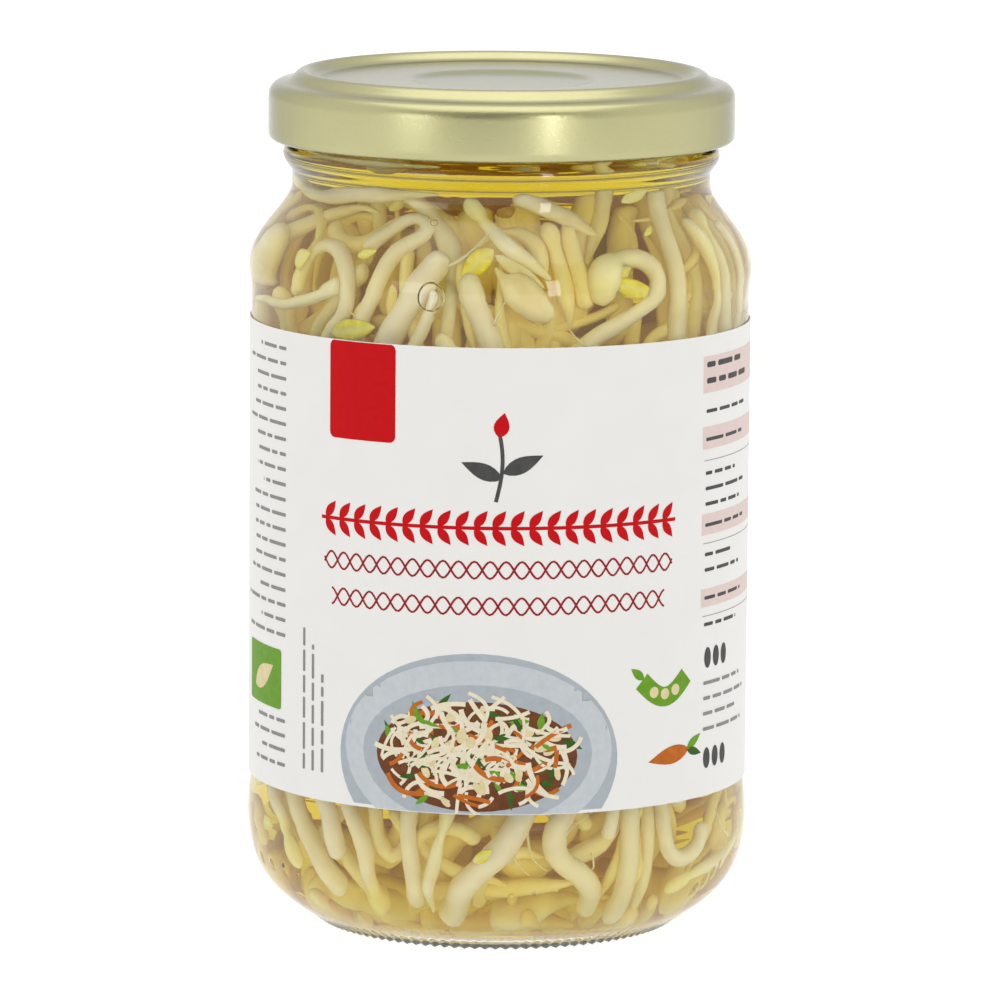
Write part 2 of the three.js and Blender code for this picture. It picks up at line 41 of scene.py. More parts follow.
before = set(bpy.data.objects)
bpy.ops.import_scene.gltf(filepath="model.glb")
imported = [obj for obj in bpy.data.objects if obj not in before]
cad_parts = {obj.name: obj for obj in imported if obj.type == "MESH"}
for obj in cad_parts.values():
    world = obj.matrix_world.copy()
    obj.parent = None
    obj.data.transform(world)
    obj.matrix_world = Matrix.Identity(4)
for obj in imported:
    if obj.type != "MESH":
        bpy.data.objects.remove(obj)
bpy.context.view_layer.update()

MM = 0.001
JAR, LID = "jar", "lid"

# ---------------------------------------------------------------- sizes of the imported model, in mm
BODY_R, PANEL_R, NECK_R, MOUTH_R = 35.9, 35.5, 29.8, 27.2
FOOT_R = (22.5, 25.5)
PANEL_Z = (20.9, 91.0)
BEAD_R, BEAD_Z = 31.1, (108.4, 112.0)
RIM_Z = 119.5
PUSH_UP, FLOOR_Z = 1.8, 4.6
ROOM_R = 33.2
LID_R, LID_TOP, CURL_R = 33.2, 122.2, 0.85
LABEL_R, LABEL_Z, LABEL_GAP = 35.6, (21.4, 87.15), 4.6
THREAD = {"starts": 4, "first": 42, "span": 62, "z": 114.4, "rise": 1.9, "height": 1.5}
BRINE_Z = 113.6
LINING, FIT, JAR_SIDES = 0.8, 0.1, 40
FRONT, BACK, CORE_R = 3.0, 8.0, 9.5
SIDE_WALL_R = 24
LOWEST, HIGHEST = 10.5, 108
FREE_SPROUTS = sum(name[len("sprout_"):].isdigit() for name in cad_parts)
PACKED_SPROUTS = 18
CLEAR, BEAD_STEP = 0.35, 1.2
PLASTIC = 1.3247179572


# ---------------------------------------------------------------- user settings
class JarSettings(bpy.types.PropertyGroup):
    turned_sides: bpy.props.IntProperty(
        name="Sides of turned pieces", description="Facets round the glass, brine and lid",
        default=440, min=64, max=720)
    wall_wave: bpy.props.FloatProperty(
        name="Wall waviness", description="How far the blown inner wall wanders in and out",
        default=0.14 * MM, min=0, unit="LENGTH")
    seam_height: bpy.props.FloatProperty(
        name="Mould seam height", description="Height of the two seams left by the mould",
        default=0.07 * MM, min=0, unit="LENGTH")
    brine_colour: bpy.props.FloatVectorProperty(
        name="Brine colour", description="Colour that a depth of brine leaves of white light",
        default=(0.933, 0.875, 0.367), size=3, min=0, max=1, subtype="COLOR")
    brine_density: bpy.props.FloatProperty(
        name="Brine density", description="Absorption in each metre of brine", default=120, min=0)


class SproutSettings(bpy.types.PropertyGroup):
    ring_step: bpy.props.FloatProperty(
        name="Ring spacing", description="Distance between rings of a sprout near the glass",
        default=0.9 * MM, min=0.3 * MM, unit="LENGTH")
    stem_sides: bpy.props.IntProperty(
        name="Stem sides", description="Facets round a sprout near the glass", default=14, min=6)
    fill_count: bpy.props.IntProperty(
        name="Filling sprouts", description="Most sprouts laid behind those of the packed model",
        default=560, min=0)
    hair_count: bpy.props.IntProperty(
        name="Loose root ends", description="Thin root ends that lie between the sprouts",
        default=20, min=0)
    bubble_count: bpy.props.IntProperty(
        name="Bubbles", description="Small air bubbles against the glass", default=7, min=0)


class LabelSettings(bpy.types.PropertyGroup):
    paper_thickness: bpy.props.FloatProperty(
        name="Paper thickness", description="Thickness of the label", default=0.15 * MM, unit="LENGTH")
    ink_lift: bpy.props.FloatProperty(
        name="Ink lift", description="How far the lowest ink layer stands off the paper",
        default=0.01 * MM, unit="LENGTH")
    ink_thickness: bpy.props.FloatProperty(
        name="Ink thickness", description="Thickness of one ink layer", default=0.01 * MM, unit="LENGTH")


class StageSettings(bpy.types.PropertyGroup):
    camera_distance: bpy.props.FloatProperty(
        name="Camera distance", description="From the camera to the jar's axis",
        default=1.10898, unit="LENGTH")
    camera_elevation: bpy.props.FloatProperty(
        name="Camera elevation", description="Angle above the horizon",
        default=math.radians(8.881), subtype="ANGLE")
    camera_roll: bpy.props.FloatProperty(
        name="Camera roll", description="Turn about the line of sight",
        default=math.radians(0.4526), subtype="ANGLE")
    lens: bpy.props.FloatProperty(
        name="Lens", description="Focal length in millimetres", default=278.52, min=1)
    table_glow: bpy.props.FloatProperty(
        name="Table glow", description="Radiance of the lit table top", default=0.88, min=0)
    sky_level: bpy.props.FloatProperty(
        name="Tent brightness", description="Radiance of the white tent round the jar", default=1.0)


# ---------------------------------------------------------------- outlines
def bend(p0, p1, p2, p3, steps):
    """Points of a cubic Bezier curve, both ends included."""
    t = np.linspace(0, 1, steps + 1)[:, None]
    p0, p1, p2, p3 = (np.array(p, float) for p in (p0, p1, p2, p3))
    return (1 - t) ** 3 * p0 + 3 * (1 - t) ** 2 * t * p1 + 3 * (1 - t) * t * t * p2 + t ** 3 * p3


def offset(outline, distance):
    """An outline moved to its left, corners mitred; points on the axis stay there."""
    outline = np.array(outline, float)
    steps = np.diff(outline, axis=0)
    steps /= np.linalg.norm(steps, axis=1)[:, None]
    arriving = np.vstack([steps[:1], steps])
    leaving = np.vstack([steps, steps[-1:]])
    both = arriving + leaving
    side = np.column_stack([-both[:, 1], both[:, 0]])
    side /= np.linalg.norm(side, axis=1)[:, None]
    reach = side[:, 0] * -arriving[:, 1] + side[:, 1] * arriving[:, 0]
    moved = outline + side * (distance / np.maximum(0.5, reach))[:, None]
    moved[outline[:, 0] < 1e-6, 0] = 0
    return moved


def rounded(outline, radius, steps=4):
    """An open outline with each inner corner replaced by a small curve."""
    outline = np.array(outline, float)
    found = [outline[:1]]
    t = np.linspace(0, 1, steps + 1)[:, None]
    for before, corner, after in zip(outline, outline[1:], outline[2:]):
        near = corner + (before - corner) * min(0.48, radius / np.linalg.norm(before - corner))
        far = corner + (after - corner) * min(0.48, radius / np.linalg.norm(after - corner))
        found.append((1 - t) ** 2 * near + 2 * t * (1 - t) * corner + t * t * far)
    found.append(outline[-1:])
    return np.vstack(found)


def spaced(points, count):
    """A polyline walked in count equal steps."""
    lengths = np.concatenate([[0], np.cumsum(np.linalg.norm(np.diff(points, axis=0), axis=1))])
    stops = np.linspace(0, lengths[-1], count + 1)
    return np.column_stack([np.interp(stops, lengths, points[:, k]) for k in range(points.shape[1])])


def refined(outline, step):
    """The outline with long stretches divided, so that formulas can shape them. The first and last bit of
    a stretch is short, which keeps the shading of a flat face flat beside a rounded corner."""
    edge = 0.25
    found = [outline[0]]
    for a, b in zip(outline, outline[1:]):
        length = np.linalg.norm(b - a)
        pieces = max(1, math.ceil(length / step))
        stops = [k / pieces for k in range(1, pieces)]
        if length > 3 * edge:
            stops = sorted({*stops, edge / length, 1 - edge / length})
        found.extend(a + (b - a) * stop for stop in [*stops, 1])
    return np.array(found)


def heel(steps):
    return bend((FOOT_R[1], 0), (FOOT_R[1] + 5.4, 4.0), (BODY_R, 5.5), (BODY_R, 16.5), steps)


def shoulder(steps):
    return bend((BODY_R, 94.1), (BODY_R, 99.8), (NECK_R, 102.8), (NECK_R, 106.4), steps)


def room(floor_steps, shoulder_steps):
    """The inside of the glass from the middle of the floor to the mouth."""
    return np.vstack([
        [(0, FLOOR_Z)],
        bend((20.5, FLOOR_Z - 1.4), (29.0, FLOOR_Z - 1.0), (ROOM_R, 7.0), (ROOM_R, 17.0), floor_steps),
        bend((ROOM_R, 93.0), (ROOM_R, 98.0), (MOUTH_R, 101.5), (MOUTH_R, 105.5), shoulder_steps),
    ])


# ---------------------------------------------------------------- meshes
class Form:
    """Gathers points, faces and tones of like parts, and makes them one mesh."""

    def __init__(self):
        self.points, self.faces, self.tones, self.slots = [], [], [], []
        self.count = 0

    def add(self, points, faces, tones=None, slot=0):
        points = np.asarray(points, float)
        self.points.append(points)
        self.faces.extend([tuple(i + self.count for i in face) for face in faces])
        self.slots.extend([slot] * len(faces))
        self.tones.append(np.zeros((len(points), 4)) if tones is None else tones)
        self.count += len(points)

    def build(self, name, materials, body=JAR, smooth=True, with_tones=False):
        mesh = bpy.data.meshes.new(name)
        mesh.from_pydata((np.vstack(self.points) * MM).tolist(), [], self.faces)
        mesh.polygons.foreach_set("use_smooth", [smooth] * len(self.faces))
        if with_tones:
            layer = mesh.color_attributes.new("growth", "FLOAT_COLOR", "POINT")
            layer.data.foreach_set("color", np.vstack(self.tones).astype(np.float32).ravel())
        for material in materials:
            mesh.materials.append(material)
        mesh.polygons.foreach_set("material_index", self.slots)
        mesh.validate()
        mesh.update()
        made = bpy.data.objects.new(name, mesh)
        bpy.context.scene.collection.objects.link(made)
        if body:
            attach(made, body)
        return made


def turned(form, outline, sides, shape=None):
    """A closed solid turned round +Z from an outline whose ends lie on the axis or meet each other."""
    outline = np.array(outline, float)
    closed = np.allclose(outline[0], outline[-1])
    angles = np.linspace(0, 2 * math.pi, sides, endpoint=False)
    rings = outline[:-1] if closed else outline[1:-1]
    r, a = np.meshgrid(rings[:, 0], angles, indexing="ij")
    z = np.repeat(rings[:, 1:2], sides, axis=1)
    if shape:
        r, z = shape(a, r, z)
    points = np.stack([r * np.sin(a), -r * np.cos(a), z], axis=-1).reshape(-1, 3)
    faces = []
    count = len(rings)
    nxt = [(k + 1) % sides for k in range(sides)]
    for i in range(count if closed else count - 1):
        low, high = i * sides, ((i + 1) % count) * sides
        faces.extend((low + k, low + nxt[k], high + nxt[k], high + k) for k in range(sides))
    if not closed:
        first, last = len(points), len(points) + 1
        ends = [(0, 0, outline[0, 1]), (0, 0, outline[-1, 1])]
        points = np.vstack([points, ends])
        top = (count - 1) * sides
        faces.extend((first, nxt[k], k) for k in range(sides))
        faces.extend((last, top + k, top + nxt[k]) for k in range(sides))
    form.add(points, faces)


def bubble(form, centre, radii, sides):
    """A hollow with the shape of an ellipsoid with axes along X, Y and Z; its faces look inward."""
    profile = [(math.sin(t), -math.cos(t)) for t in np.linspace(0, math.pi, sides // 2 + 1)]
    lump = Form()
    turned(lump, [(max(0, x), y) for x, y in profile], sides)
    form.add(lump.points[0] * np.array(radii) + np.array(centre), [face[::-1] for face in lump.faces])


def frames_along(centres):
    """Two directions across a line at each of its points, carried along it without twist."""
    tangents = np.gradient(centres, axis=0)
    tangents /= np.linalg.norm(tangents, axis=1)[:, None]
    across = np.array([1, 0.3, 0.2])
    first, second = [], []
    for tangent in tangents:
        across = across - tangent * across.dot(tangent)
        across /= np.linalg.norm(across)
        first.append(across)
        second.append(np.cross(tangent, across))
    return np.array(first), np.array(second)


def tube(form, centres, radii, sides, tones=None):
    """A round bar along a line; radii holds one value a ring, or one a ring and side."""
    u, v = frames_along(centres)
    turn = np.linspace(0, 2 * math.pi, sides, endpoint=False)
    radii = np.broadcast_to(np.asarray(radii, float).reshape(len(centres), -1), (len(centres), sides))
    ring = (radii * np.cos(turn))[:, :, None] * u[:, None] + (radii * np.sin(turn))[:, :, None] * v[:, None]
    points = (centres[:, None] + ring).reshape(-1, 3)
    points = np.vstack([points, centres[:1], centres[-1:]])
    faces = []
    rows = len(centres)
    for i in range(rows - 1):
        low, high = i * sides, (i + 1) * sides
        for k in range(sides):
            n = (k + 1) % sides
            faces.append((low + k, low + n, high + n, high + k))
    top = (rows - 1) * sides
    for k in range(sides):
        n = (k + 1) % sides
        faces.append((rows * sides, n, k))
        faces.append((rows * sides + 1, top + k, top + n))
    if tones is not None:
        tones = np.vstack([np.repeat(tones, sides, axis=0), tones[:1], tones[-1:]])
    form.add(points, faces, tones)


def joined(target, *others):
    """Boolean union of closed meshes; the others are removed."""
    for other in others:
        modifier = target.modifiers.new("union", "BOOLEAN")
        modifier.operation, modifier.object, modifier.solver = "UNION", other, "MANIFOLD"
        solid = bpy.data.meshes.new_from_object(
            target.evaluated_get(bpy.context.evaluated_depsgraph_get()))
        target.modifiers.remove(modifier)
        old, target.data = target.data, solid
        solid.name = target.name
        bpy.data.meshes.remove(old)
        bpy.data.objects.remove(other)
    target.data.polygons.foreach_set("use_smooth", [True] * len(target.data.polygons))
    return target


# ---------------------------------------------------------------- materials
def srgb(code):
    """A hex colour as the linear values that shaders take, with alpha 1."""
    parts = [int(code[i:i + 2], 16) / 255 for i in (0, 2, 4)]
    return tuple(c / 12.92 if c <= 0.04045 else ((c + 0.055) / 1.055) ** 2.4 for c in parts) + (1.0,)


def node(material, kind, links=None, **settings):
    """Adds a node, sets its properties and input values, and links inputs to other nodes' outputs."""
    tree = material.node_tree
    made = tree.nodes.new(kind)
    for name, value in settings.items():
        if hasattr(made, name):
            setattr(made, name, value)
        else:
            made.inputs[name.replace("_", " ")].default_value = value
    for name, source in (links or {}).items():
        socket = made.inputs[name]
        tree.links.new(source if isinstance(source, bpy.types.NodeSocket) else source.outputs[0], socket)
    return made


def new_material(name):
    material = bpy.data.materials.new(name)
    material.use_nodes = True
    material.node_tree.nodes.clear()
    return material


def finished(material, surface, volume=None):
    links = {"Surface": surface}
    if volume:
        links["Volume"] = volume
    node(material, "ShaderNodeOutputMaterial", links)
    return material


def object_coordinates(material):
    return node(material, "ShaderNodeTexCoord").outputs["Object"]


def per_mm(size):
    """Noise scale whose features are about this many millimetres."""
    return 1 / (size * MM)


def clear_to_lamps(material, shader, passed=(1, 1, 1)):
    """Lets lamp light straight through each surface, in the shares given for red, green and blue, so that
    what is inside is lit without caustics."""
    rays = node(material, "ShaderNodeLightPath")
    lamp = node(material, "ShaderNodeBsdfTransparent", Color=(*passed, 1))
    return node(material, "ShaderNodeMixShader", {"Fac": rays.outputs["Is Shadow Ray"], 1: shader, 2: lamp})


def ramp(material, factor, stops):
    made = node(material, "ShaderNodeValToRGB", {"Fac": factor})
    band = made.color_ramp
    for place, code in stops[2:]:
        band.elements.new(place)
    for element, (place, code) in zip(band.elements, sorted(stops)):
        element.position, element.color = place, srgb(code)
    return made


def glass_material(glare=1.0):
    """Clear soda-lime glass, blown in a mould: smooth, with the faint orange peel of the mould's skin. Its
    glare is the share of a dry surface's reflection that is left; brine against glass leaves a tenth."""
    m = new_material("moulded_soda_lime_glass" if glare == 1.0 else "brine_wetted_glass")
    peel = node(m, "ShaderNodeTexNoise", {"Vector": object_coordinates(m)},
                Scale=per_mm(9), Detail=1.5, Roughness=0.4)
    bump = node(m, "ShaderNodeBump", {"Height": peel}, Strength=0.10, Distance=0.25 * MM)
    shader = node(m, "ShaderNodeBsdfPrincipled", {"Normal": bump},
                  IOR=1.52, Roughness=0.0, **{"Transmission Weight": 1.0, "Base Color": srgb("FBFEFA"),
                                              "Specular Tint": (glare, glare, glare, 1)})
    return finished(m, clear_to_lamps(m, shader))


def brine_material():
    """Salt water, yellow from the sprouts: clear in a thin layer and amber in a deep one. Its side lies
    against the glass, so it has no glare of its own."""
    m = new_material("clear_brine")
    settings = bpy.context.scene.sprout_jar
    shader = node(m, "ShaderNodeBsdfPrincipled",
                  IOR=1.335, Roughness=0.0, **{"Transmission Weight": 1.0, "Base Color": (1, 1, 1, 1),
                                               "Specular Tint": (0, 0, 0, 1)})
    volume = node(m, "ShaderNodeVolumeAbsorption",
                  Color=(*settings.brine_colour, 1), Density=settings.brine_density)
    return finished(m, clear_to_lamps(m, shader), volume)


def sprout_material():
    """Cooked sprout flesh: watery and translucent, ivory stems, creamy heads and tan root ends."""
    m = new_material("cooked_sprout_flesh")
    growth = node(m, "ShaderNodeVertexColor", layer_name="growth")
    parts = node(m, "ShaderNodeSeparateColor", {"Color": growth.outputs["Color"]})
    place = object_coordinates(m)
    cloud = node(m, "ShaderNodeTexNoise", {"Vector": place}, Scale=per_mm(3.5), Detail=1, Roughness=0.55)
    stem = ramp(m, cloud, [(0.30, "E3D7D0"), (0.70, "ECE2DD")])
    head = ramp(m, cloud, [(0.30, "ECDDBA"), (0.70, "F3E7CF")])
    root = ramp(m, cloud, [(0.35, "D8C49A"), (0.70, "EEE4CC")])
    to_head = node(m, "ShaderNodeMix", {0: parts.outputs["Red"], 6: stem, 7: head}, data_type="RGBA")
    to_root = node(m, "ShaderNodeMix", {0: parts.outputs["Green"], 6: to_head.outputs[2], 7: root},
                   data_type="RGBA")
    yellow = node(m, "ShaderNodeMix", {0: parts.outputs["Blue"], 6: to_root.outputs[2]},
                  data_type="RGBA")
    yellow.inputs[7].default_value = srgb("E8DE6A")
    fibre = node(m, "ShaderNodeTexNoise", {"Vector": place}, Scale=per_mm(0.9), Detail=1, Roughness=0.6)
    bump = node(m, "ShaderNodeBump", {"Height": fibre}, Strength=0.25, Distance=0.15 * MM)
    shader = node(m, "ShaderNodeBsdfPrincipled", {"Base Color": yellow.outputs[2], "Normal": bump},
                  IOR=1.4, Roughness=0.42,
                  **{"Subsurface Weight": 0.8, "Subsurface Scale": 2.4 * MM, "Specular IOR Level": 0.3})
    shader.inputs["Subsurface Radius"].default_value = (1.0, 0.9, 0.7)
    return finished(m, clear_to_lamps(m, shader, (0.97, 0.95, 0.84)))


def steeped_material():
    """Sprouts further in: the same flesh, yellower for the brine that it has taken up, seen too dimly to
    show how its light spreads inside."""
    m = new_material("steeped_sprout_flesh")
    cloud = node(m, "ShaderNodeTexNoise", {"Vector": object_coordinates(m)}, Scale=per_mm(5), Detail=2)
    tone = ramp(m, cloud, [(0.30, "FAE6AC"), (0.70, "FEF1CC")])
    shader = node(m, "ShaderNodeBsdfPrincipled", {"Base Color": tone}, IOR=1.4, Roughness=0.6,
                  **{"Specular IOR Level": 0.1})
    return finished(m, shader)


def leaflet_material():
    """First leaves, soft and bright yellow, paler towards their base."""
    m = new_material("first_leaf_tissue")
    growth = node(m, "ShaderNodeVertexColor", layer_name="growth")
    parts = node(m, "ShaderNodeSeparateColor", {"Color": growth.outputs["Color"]})
    mottle = node(m, "ShaderNodeTexNoise", {"Vector": object_coordinates(m)},
                  Scale=per_mm(0.8), Detail=3, Roughness=0.6)
    colour = ramp(m, mottle, [(0.3, "DCCB22"), (0.7, "F4EA4E")])
    pale = node(m, "ShaderNodeMix", {0: parts.outputs["Red"], 6: colour}, data_type="RGBA")
    pale.inputs[7].default_value = srgb("EFE9B4")
    bump = node(m, "ShaderNodeBump", {"Height": mottle}, Strength=0.3, Distance=0.1 * MM)
    shader = node(m, "ShaderNodeBsdfPrincipled", {"Base Color": pale.outputs[2], "Normal": bump},
                  IOR=1.4, Roughness=0.4, **{"Subsurface Weight": 0.3, "Subsurface Scale": 0.7 * MM})
    shader.inputs["Subsurface Radius"].default_value = (1.0, 0.9, 0.2)
    return finished(m, shader)


def husk_material():
    """Seed coat, thin and leathery, amber to tan."""
    m = new_material("bean_seed_coat")
    mottle = node(m, "ShaderNodeTexNoise", {"Vector": object_coordinates(m)},
                  Scale=per_mm(0.7), Detail=4, Roughness=0.6)
    colour = ramp(m, mottle, [(0.3, "A8761E"), (0.7, "C49A38")])
    bump = node(m, "ShaderNodeBump", {"Height": mottle}, Strength=0.4, Distance=0.1 * MM)
    return finished(m, node(m, "ShaderNodeBsdfPrincipled", {"Base Color": colour, "Normal": bump},
                            IOR=1.45, Roughness=0.45))


def lid_material():
    """Tinplate, rolled, with a pale gold lacquer: satin, with fine lines along the rolling direction."""
    m = new_material("gold_lacquered_tinplate")
    place = object_coordinates(m)
    along = node(m, "ShaderNodeMapping", {"Vector": place}, Scale=(1, 26, 8))
    grain = node(m, "ShaderNodeTexNoise", {"Vector": along}, Scale=per_mm(3.2), Detail=5, Roughness=0.65)
    cloud = node(m, "ShaderNodeTexNoise", {"Vector": place}, Scale=per_mm(14), Detail=3, Roughness=0.5)
    colour = ramp(m, cloud, [(0.3, "B2AE7C"), (0.7, "B8B483")])
    rough = node(m, "ShaderNodeMapRange", {"Value": grain},
                 **{"From Min": 0.3, "From Max": 0.7, "To Min": 0.26, "To Max": 0.36})
    bump = node(m, "ShaderNodeBump", {"Height": grain}, Strength=0.35, Distance=0.05 * MM)
    # The dark specular tint is painted shade: it dims the metal's reflection at glancing angles, so the lid
    # shows darker towards its sides.
    shader = node(m, "ShaderNodeBsdfPrincipled",
                  {"Base Color": colour, "Roughness": rough, "Normal": bump}, Metallic=1.0,
                  **{"Specular Tint": (0.2, 0.19, 0.14, 1), "Coat Weight": 1.0, "Coat Roughness": 0.18,
                     "Coat IOR": 1.5})
    return finished(m, shader)


def seal_material():
    """Plastisol compound, flowed in and cured: cream, soft and matt."""
    m = new_material("flowed_plastisol")
    skin = node(m, "ShaderNodeTexNoise", {"Vector": object_coordinates(m)},
                Scale=per_mm(2), Detail=3, Roughness=0.5)
    colour = ramp(m, skin, [(0.3, "E4E0D2"), (0.7, "ECE9DE")])
    bump = node(m, "ShaderNodeBump", {"Height": skin}, Strength=0.3, Distance=0.1 * MM)
    return finished(m, node(m, "ShaderNodeBsdfPrincipled", {"Base Color": colour, "Normal": bump},
                            IOR=1.5, Roughness=0.55))


def paper_material():
    """Label paper, coated and calendered: near white, matt, with a fibre a little uneven under the coat.
    Some lamp light soaks through it and lights what stands behind."""
    m = new_material("coated_label_paper")
    place = object_coordinates(m)
    fibre = node(m, "ShaderNodeTexNoise", {"Vector": place}, Scale=per_mm(0.5), Detail=4, Roughness=0.65)
    cloud = node(m, "ShaderNodeTexNoise", {"Vector": place}, Scale=per_mm(6), Detail=2, Roughness=0.5)
    colour = ramp(m, cloud, [(0.3, "DEDDD9"), (0.7, "E0DFDB")])
    bump = node(m, "ShaderNodeBump", {"Height": fibre}, Strength=0.2, Distance=0.03 * MM)
    sheet = node(m, "ShaderNodeBsdfPrincipled", {"Base Color": colour, "Normal": bump},
                 IOR=1.5, Roughness=0.5, **{"Specular IOR Level": 0.35})
    return finished(m, clear_to_lamps(m, sheet, (0.6, 0.6, 0.57)))


def ink_material(name, light, dark):
    """Offset ink on coated paper: flat and matt, with a slight unevenness of the film."""
    m = new_material(f"offset_ink_{name}")
    film = node(m, "ShaderNodeTexNoise", {"Vector": object_coordinates(m)},
                Scale=per_mm(1.2), Detail=4, Roughness=0.6)
    colour = ramp(m, film, [(0.3, dark), (0.7, light)])
    bump = node(m, "ShaderNodeBump", {"Height": film}, Strength=0.15, Distance=0.02 * MM)
    return finished(m, node(m, "ShaderNodeBsdfPrincipled", {"Base Color": colour, "Normal": bump},
                            IOR=1.5, Roughness=0.5, **{"Specular IOR Level": 0.08}))


def floor_material():
    """Opal acrylic table top, cast and sanded matt, lit from below so that shadows on it are faint."""
    m = new_material("opal_acrylic_table")
    sanding = node(m, "ShaderNodeTexNoise", {"Vector": object_coordinates(m)},
                   Scale=per_mm(2), Detail=3, Roughness=0.5)
    colour = ramp(m, sanding, [(0.3, "8E8E8E"), (0.7, "929292")])
    return finished(m, node(m, "ShaderNodeBsdfPrincipled", {"Base Color": colour},
                            IOR=1.49, Roughness=0.8,
                            **{"Specular IOR Level": 0.1, "Emission Color": (1, 1, 1, 1),
                               "Emission Strength": bpy.context.scene.jar_stage.table_glow}))


_made = {}


def shared(maker, *values):
    """One material for each maker and its values."""
    key = (maker.__name__, *values)
    if key not in _made:
        _made[key] = maker(*values)
    return _made[key]


# ---------------------------------------------------------------- glass
def wall_wave(angle, z):
    """How far the inner wall stands out of true at a place, in mm."""
    amount = bpy.context.scene.sprout_jar.wall_wave / MM
    fade = np.clip((z - 14) / 10, 0, 1) * np.clip((112 - z) / 8, 0, 1)
    swell = np.sin(3 * angle + 1.3 + z / 23) * 0.5 + np.sin(5 * angle - z / 9.0) * 0.3
    return amount * fade * (swell + np.sin(8 * angle + z / 5.5) * 0.2)


SEAMS = (-13.5, 166.5)
# Small flat marks of the mould low on the heel: (azimuth, height, half width).
MOULD_MARKS = [(-72.4, 9.9, 0.6), (-65.6, 9.8, 0.6), (-58.9, 9.7, 0.6),
               (56.0, 7.4, 0.35), (59.2, 8.5, 0.35), (62.4, 9.6, 0.35), (65.5, 10.7, 0.35)]
MARK_LIFT, MARK_HALF_HEIGHT = 0.15, 0.8
# The knurl of the bearing ring: middle radius, half width and depth.
KNURL_R, KNURL_HALF, KNURL_DEPTH = 26.0, 3.0, 0.4


def degrees_from(angle, azimuth):
    """How many degrees an angle in radians lies past an azimuth, from -180 to 180."""
    return (np.degrees(angle) - azimuth + 180) % 360 - 180


def glass_shape(angle, r, z):
    """Mould seams and marks outside, a knurled bearing ring and a slightly wavy inner wall."""
    settings = bpy.context.scene.sprout_jar
    mid_wall = [(0, 22), (5, 32), (16.5, 35), (94, 35), (106, 29), (112, 29)]
    outer = np.interp(z, *zip(*mid_wall)) < r
    shows = outer & (z > 2.5) & (z < RIM_Z - 2) & ((z < PANEL_Z[0]) | (z > PANEL_Z[1]))
    for azimuth in SEAMS:
        ridge = settings.seam_height / MM * np.exp(-((degrees_from(angle, azimuth) * 0.6) ** 2))
        r = np.where(shows, r + ridge, r)
    for azimuth, height, wide in MOULD_MARKS:
        away = np.radians(degrees_from(angle, azimuth)) * r / wide
        mark = MARK_LIFT * np.exp(-away ** 4 - ((z - height) / MARK_HALF_HEIGHT) ** 4)
        r = np.where(outer, r + mark, r)
    knurl = np.clip(1 - abs(r - KNURL_R) / KNURL_HALF, 0, 1) * (z < 3.2) * outer
    tooth = 0.5 - 0.5 * np.cos(angle * settings.turned_sides / 4)
    z = z + KNURL_DEPTH * knurl * tooth
    r = np.where(~outer & (z > 12), r + wall_wave(angle, z), r)
    return r, z


def thread_arc(start):
    """One thread start as a rounded bar that climbs round the neck."""
    count = 40
    along = np.linspace(0, 1, count)
    full = np.clip(6 * np.minimum(along, 1 - along) + 0.3, 0, 1)
    angle = np.radians(start + THREAD["span"] * along)
    mid_r = NECK_R + 0.15
    centres = np.column_stack([mid_r * np.sin(angle), -mid_r * np.cos(angle),
                               THREAD["z"] + THREAD["height"] / 2 + THREAD["rise"] * along])
    form = Form()
    tube(form, centres, np.minimum(full * 1.15, 0.78), 12)
    return form


# Share of its glare that the inner wall keeps where brine lies against it.
WETTED_GLARE = 0.1


def make_glass():
    sides = bpy.context.scene.sprout_jar.turned_sides
    outside = np.vstack([
        heel(44),
        rounded([heel(44)[-1], (PANEL_R, PANEL_Z[0]), (PANEL_R, PANEL_Z[1]), shoulder(28)[0]], 1.6),
        shoulder(28)[1:],
        rounded([
            shoulder(28)[-1], (NECK_R, BEAD_Z[0] - 0.4), (BEAD_R, BEAD_Z[0] + 1.4),
            (BEAD_R, BEAD_Z[1] - 0.9), (NECK_R, BEAD_Z[1]), (NECK_R, RIM_Z - 1.0),
            (NECK_R - 0.8, RIM_Z), (MOUTH_R + 0.5, RIM_Z), (MOUTH_R, RIM_Z - 0.5),
            room(2, 2)[-1],
        ], 0.7, 6)[1:-1],
    ])
    outline = np.vstack([
        [(0, PUSH_UP)],
        bend((FOOT_R[0] - 6, PUSH_UP - 0.25), (FOOT_R[0] - 3, PUSH_UP - 0.4), (FOOT_R[0] - 1.5, 0.0),
             (FOOT_R[0], 0), 10),
        refined(np.array([(FOOT_R[0] + 0.4, 0.0), (FOOT_R[1] - 0.4, 0.0)]), 0.35),
        outside,
        room(28, 28)[::-1],
    ])
    distinct = [outline[0]]
    for spot in outline[1:]:
        if np.linalg.norm(spot - distinct[-1]) > 0.02:
            distinct.append(spot)
    line = refined(np.array(distinct), 3.0)
    wetted = (np.arange(len(line)) > line[:, 1].argmax()) & (line[:, 1] < BRINE_Z)
    form = Form()
    turned(form, line, sides, glass_shape)
    for ring in np.flatnonzero(wetted[1:-2]):
        form.slots[ring * sides:(ring + 1) * sides] = [1] * sides
    form.slots[-sides:] = [1] * sides
    glass = form.build("glass_jar_blown", [shared(glass_material), shared(glass_material, WETTED_GLARE)])
    extra = [thread_arc(THREAD["first"] + k * 360 / THREAD["starts"]) for k in range(THREAD["starts"])]
    for k, part in enumerate(extra):
        glass = joined(glass, part.build(f"thread_{k}", [shared(glass_material)], body=None))
    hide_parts("glass_jar")


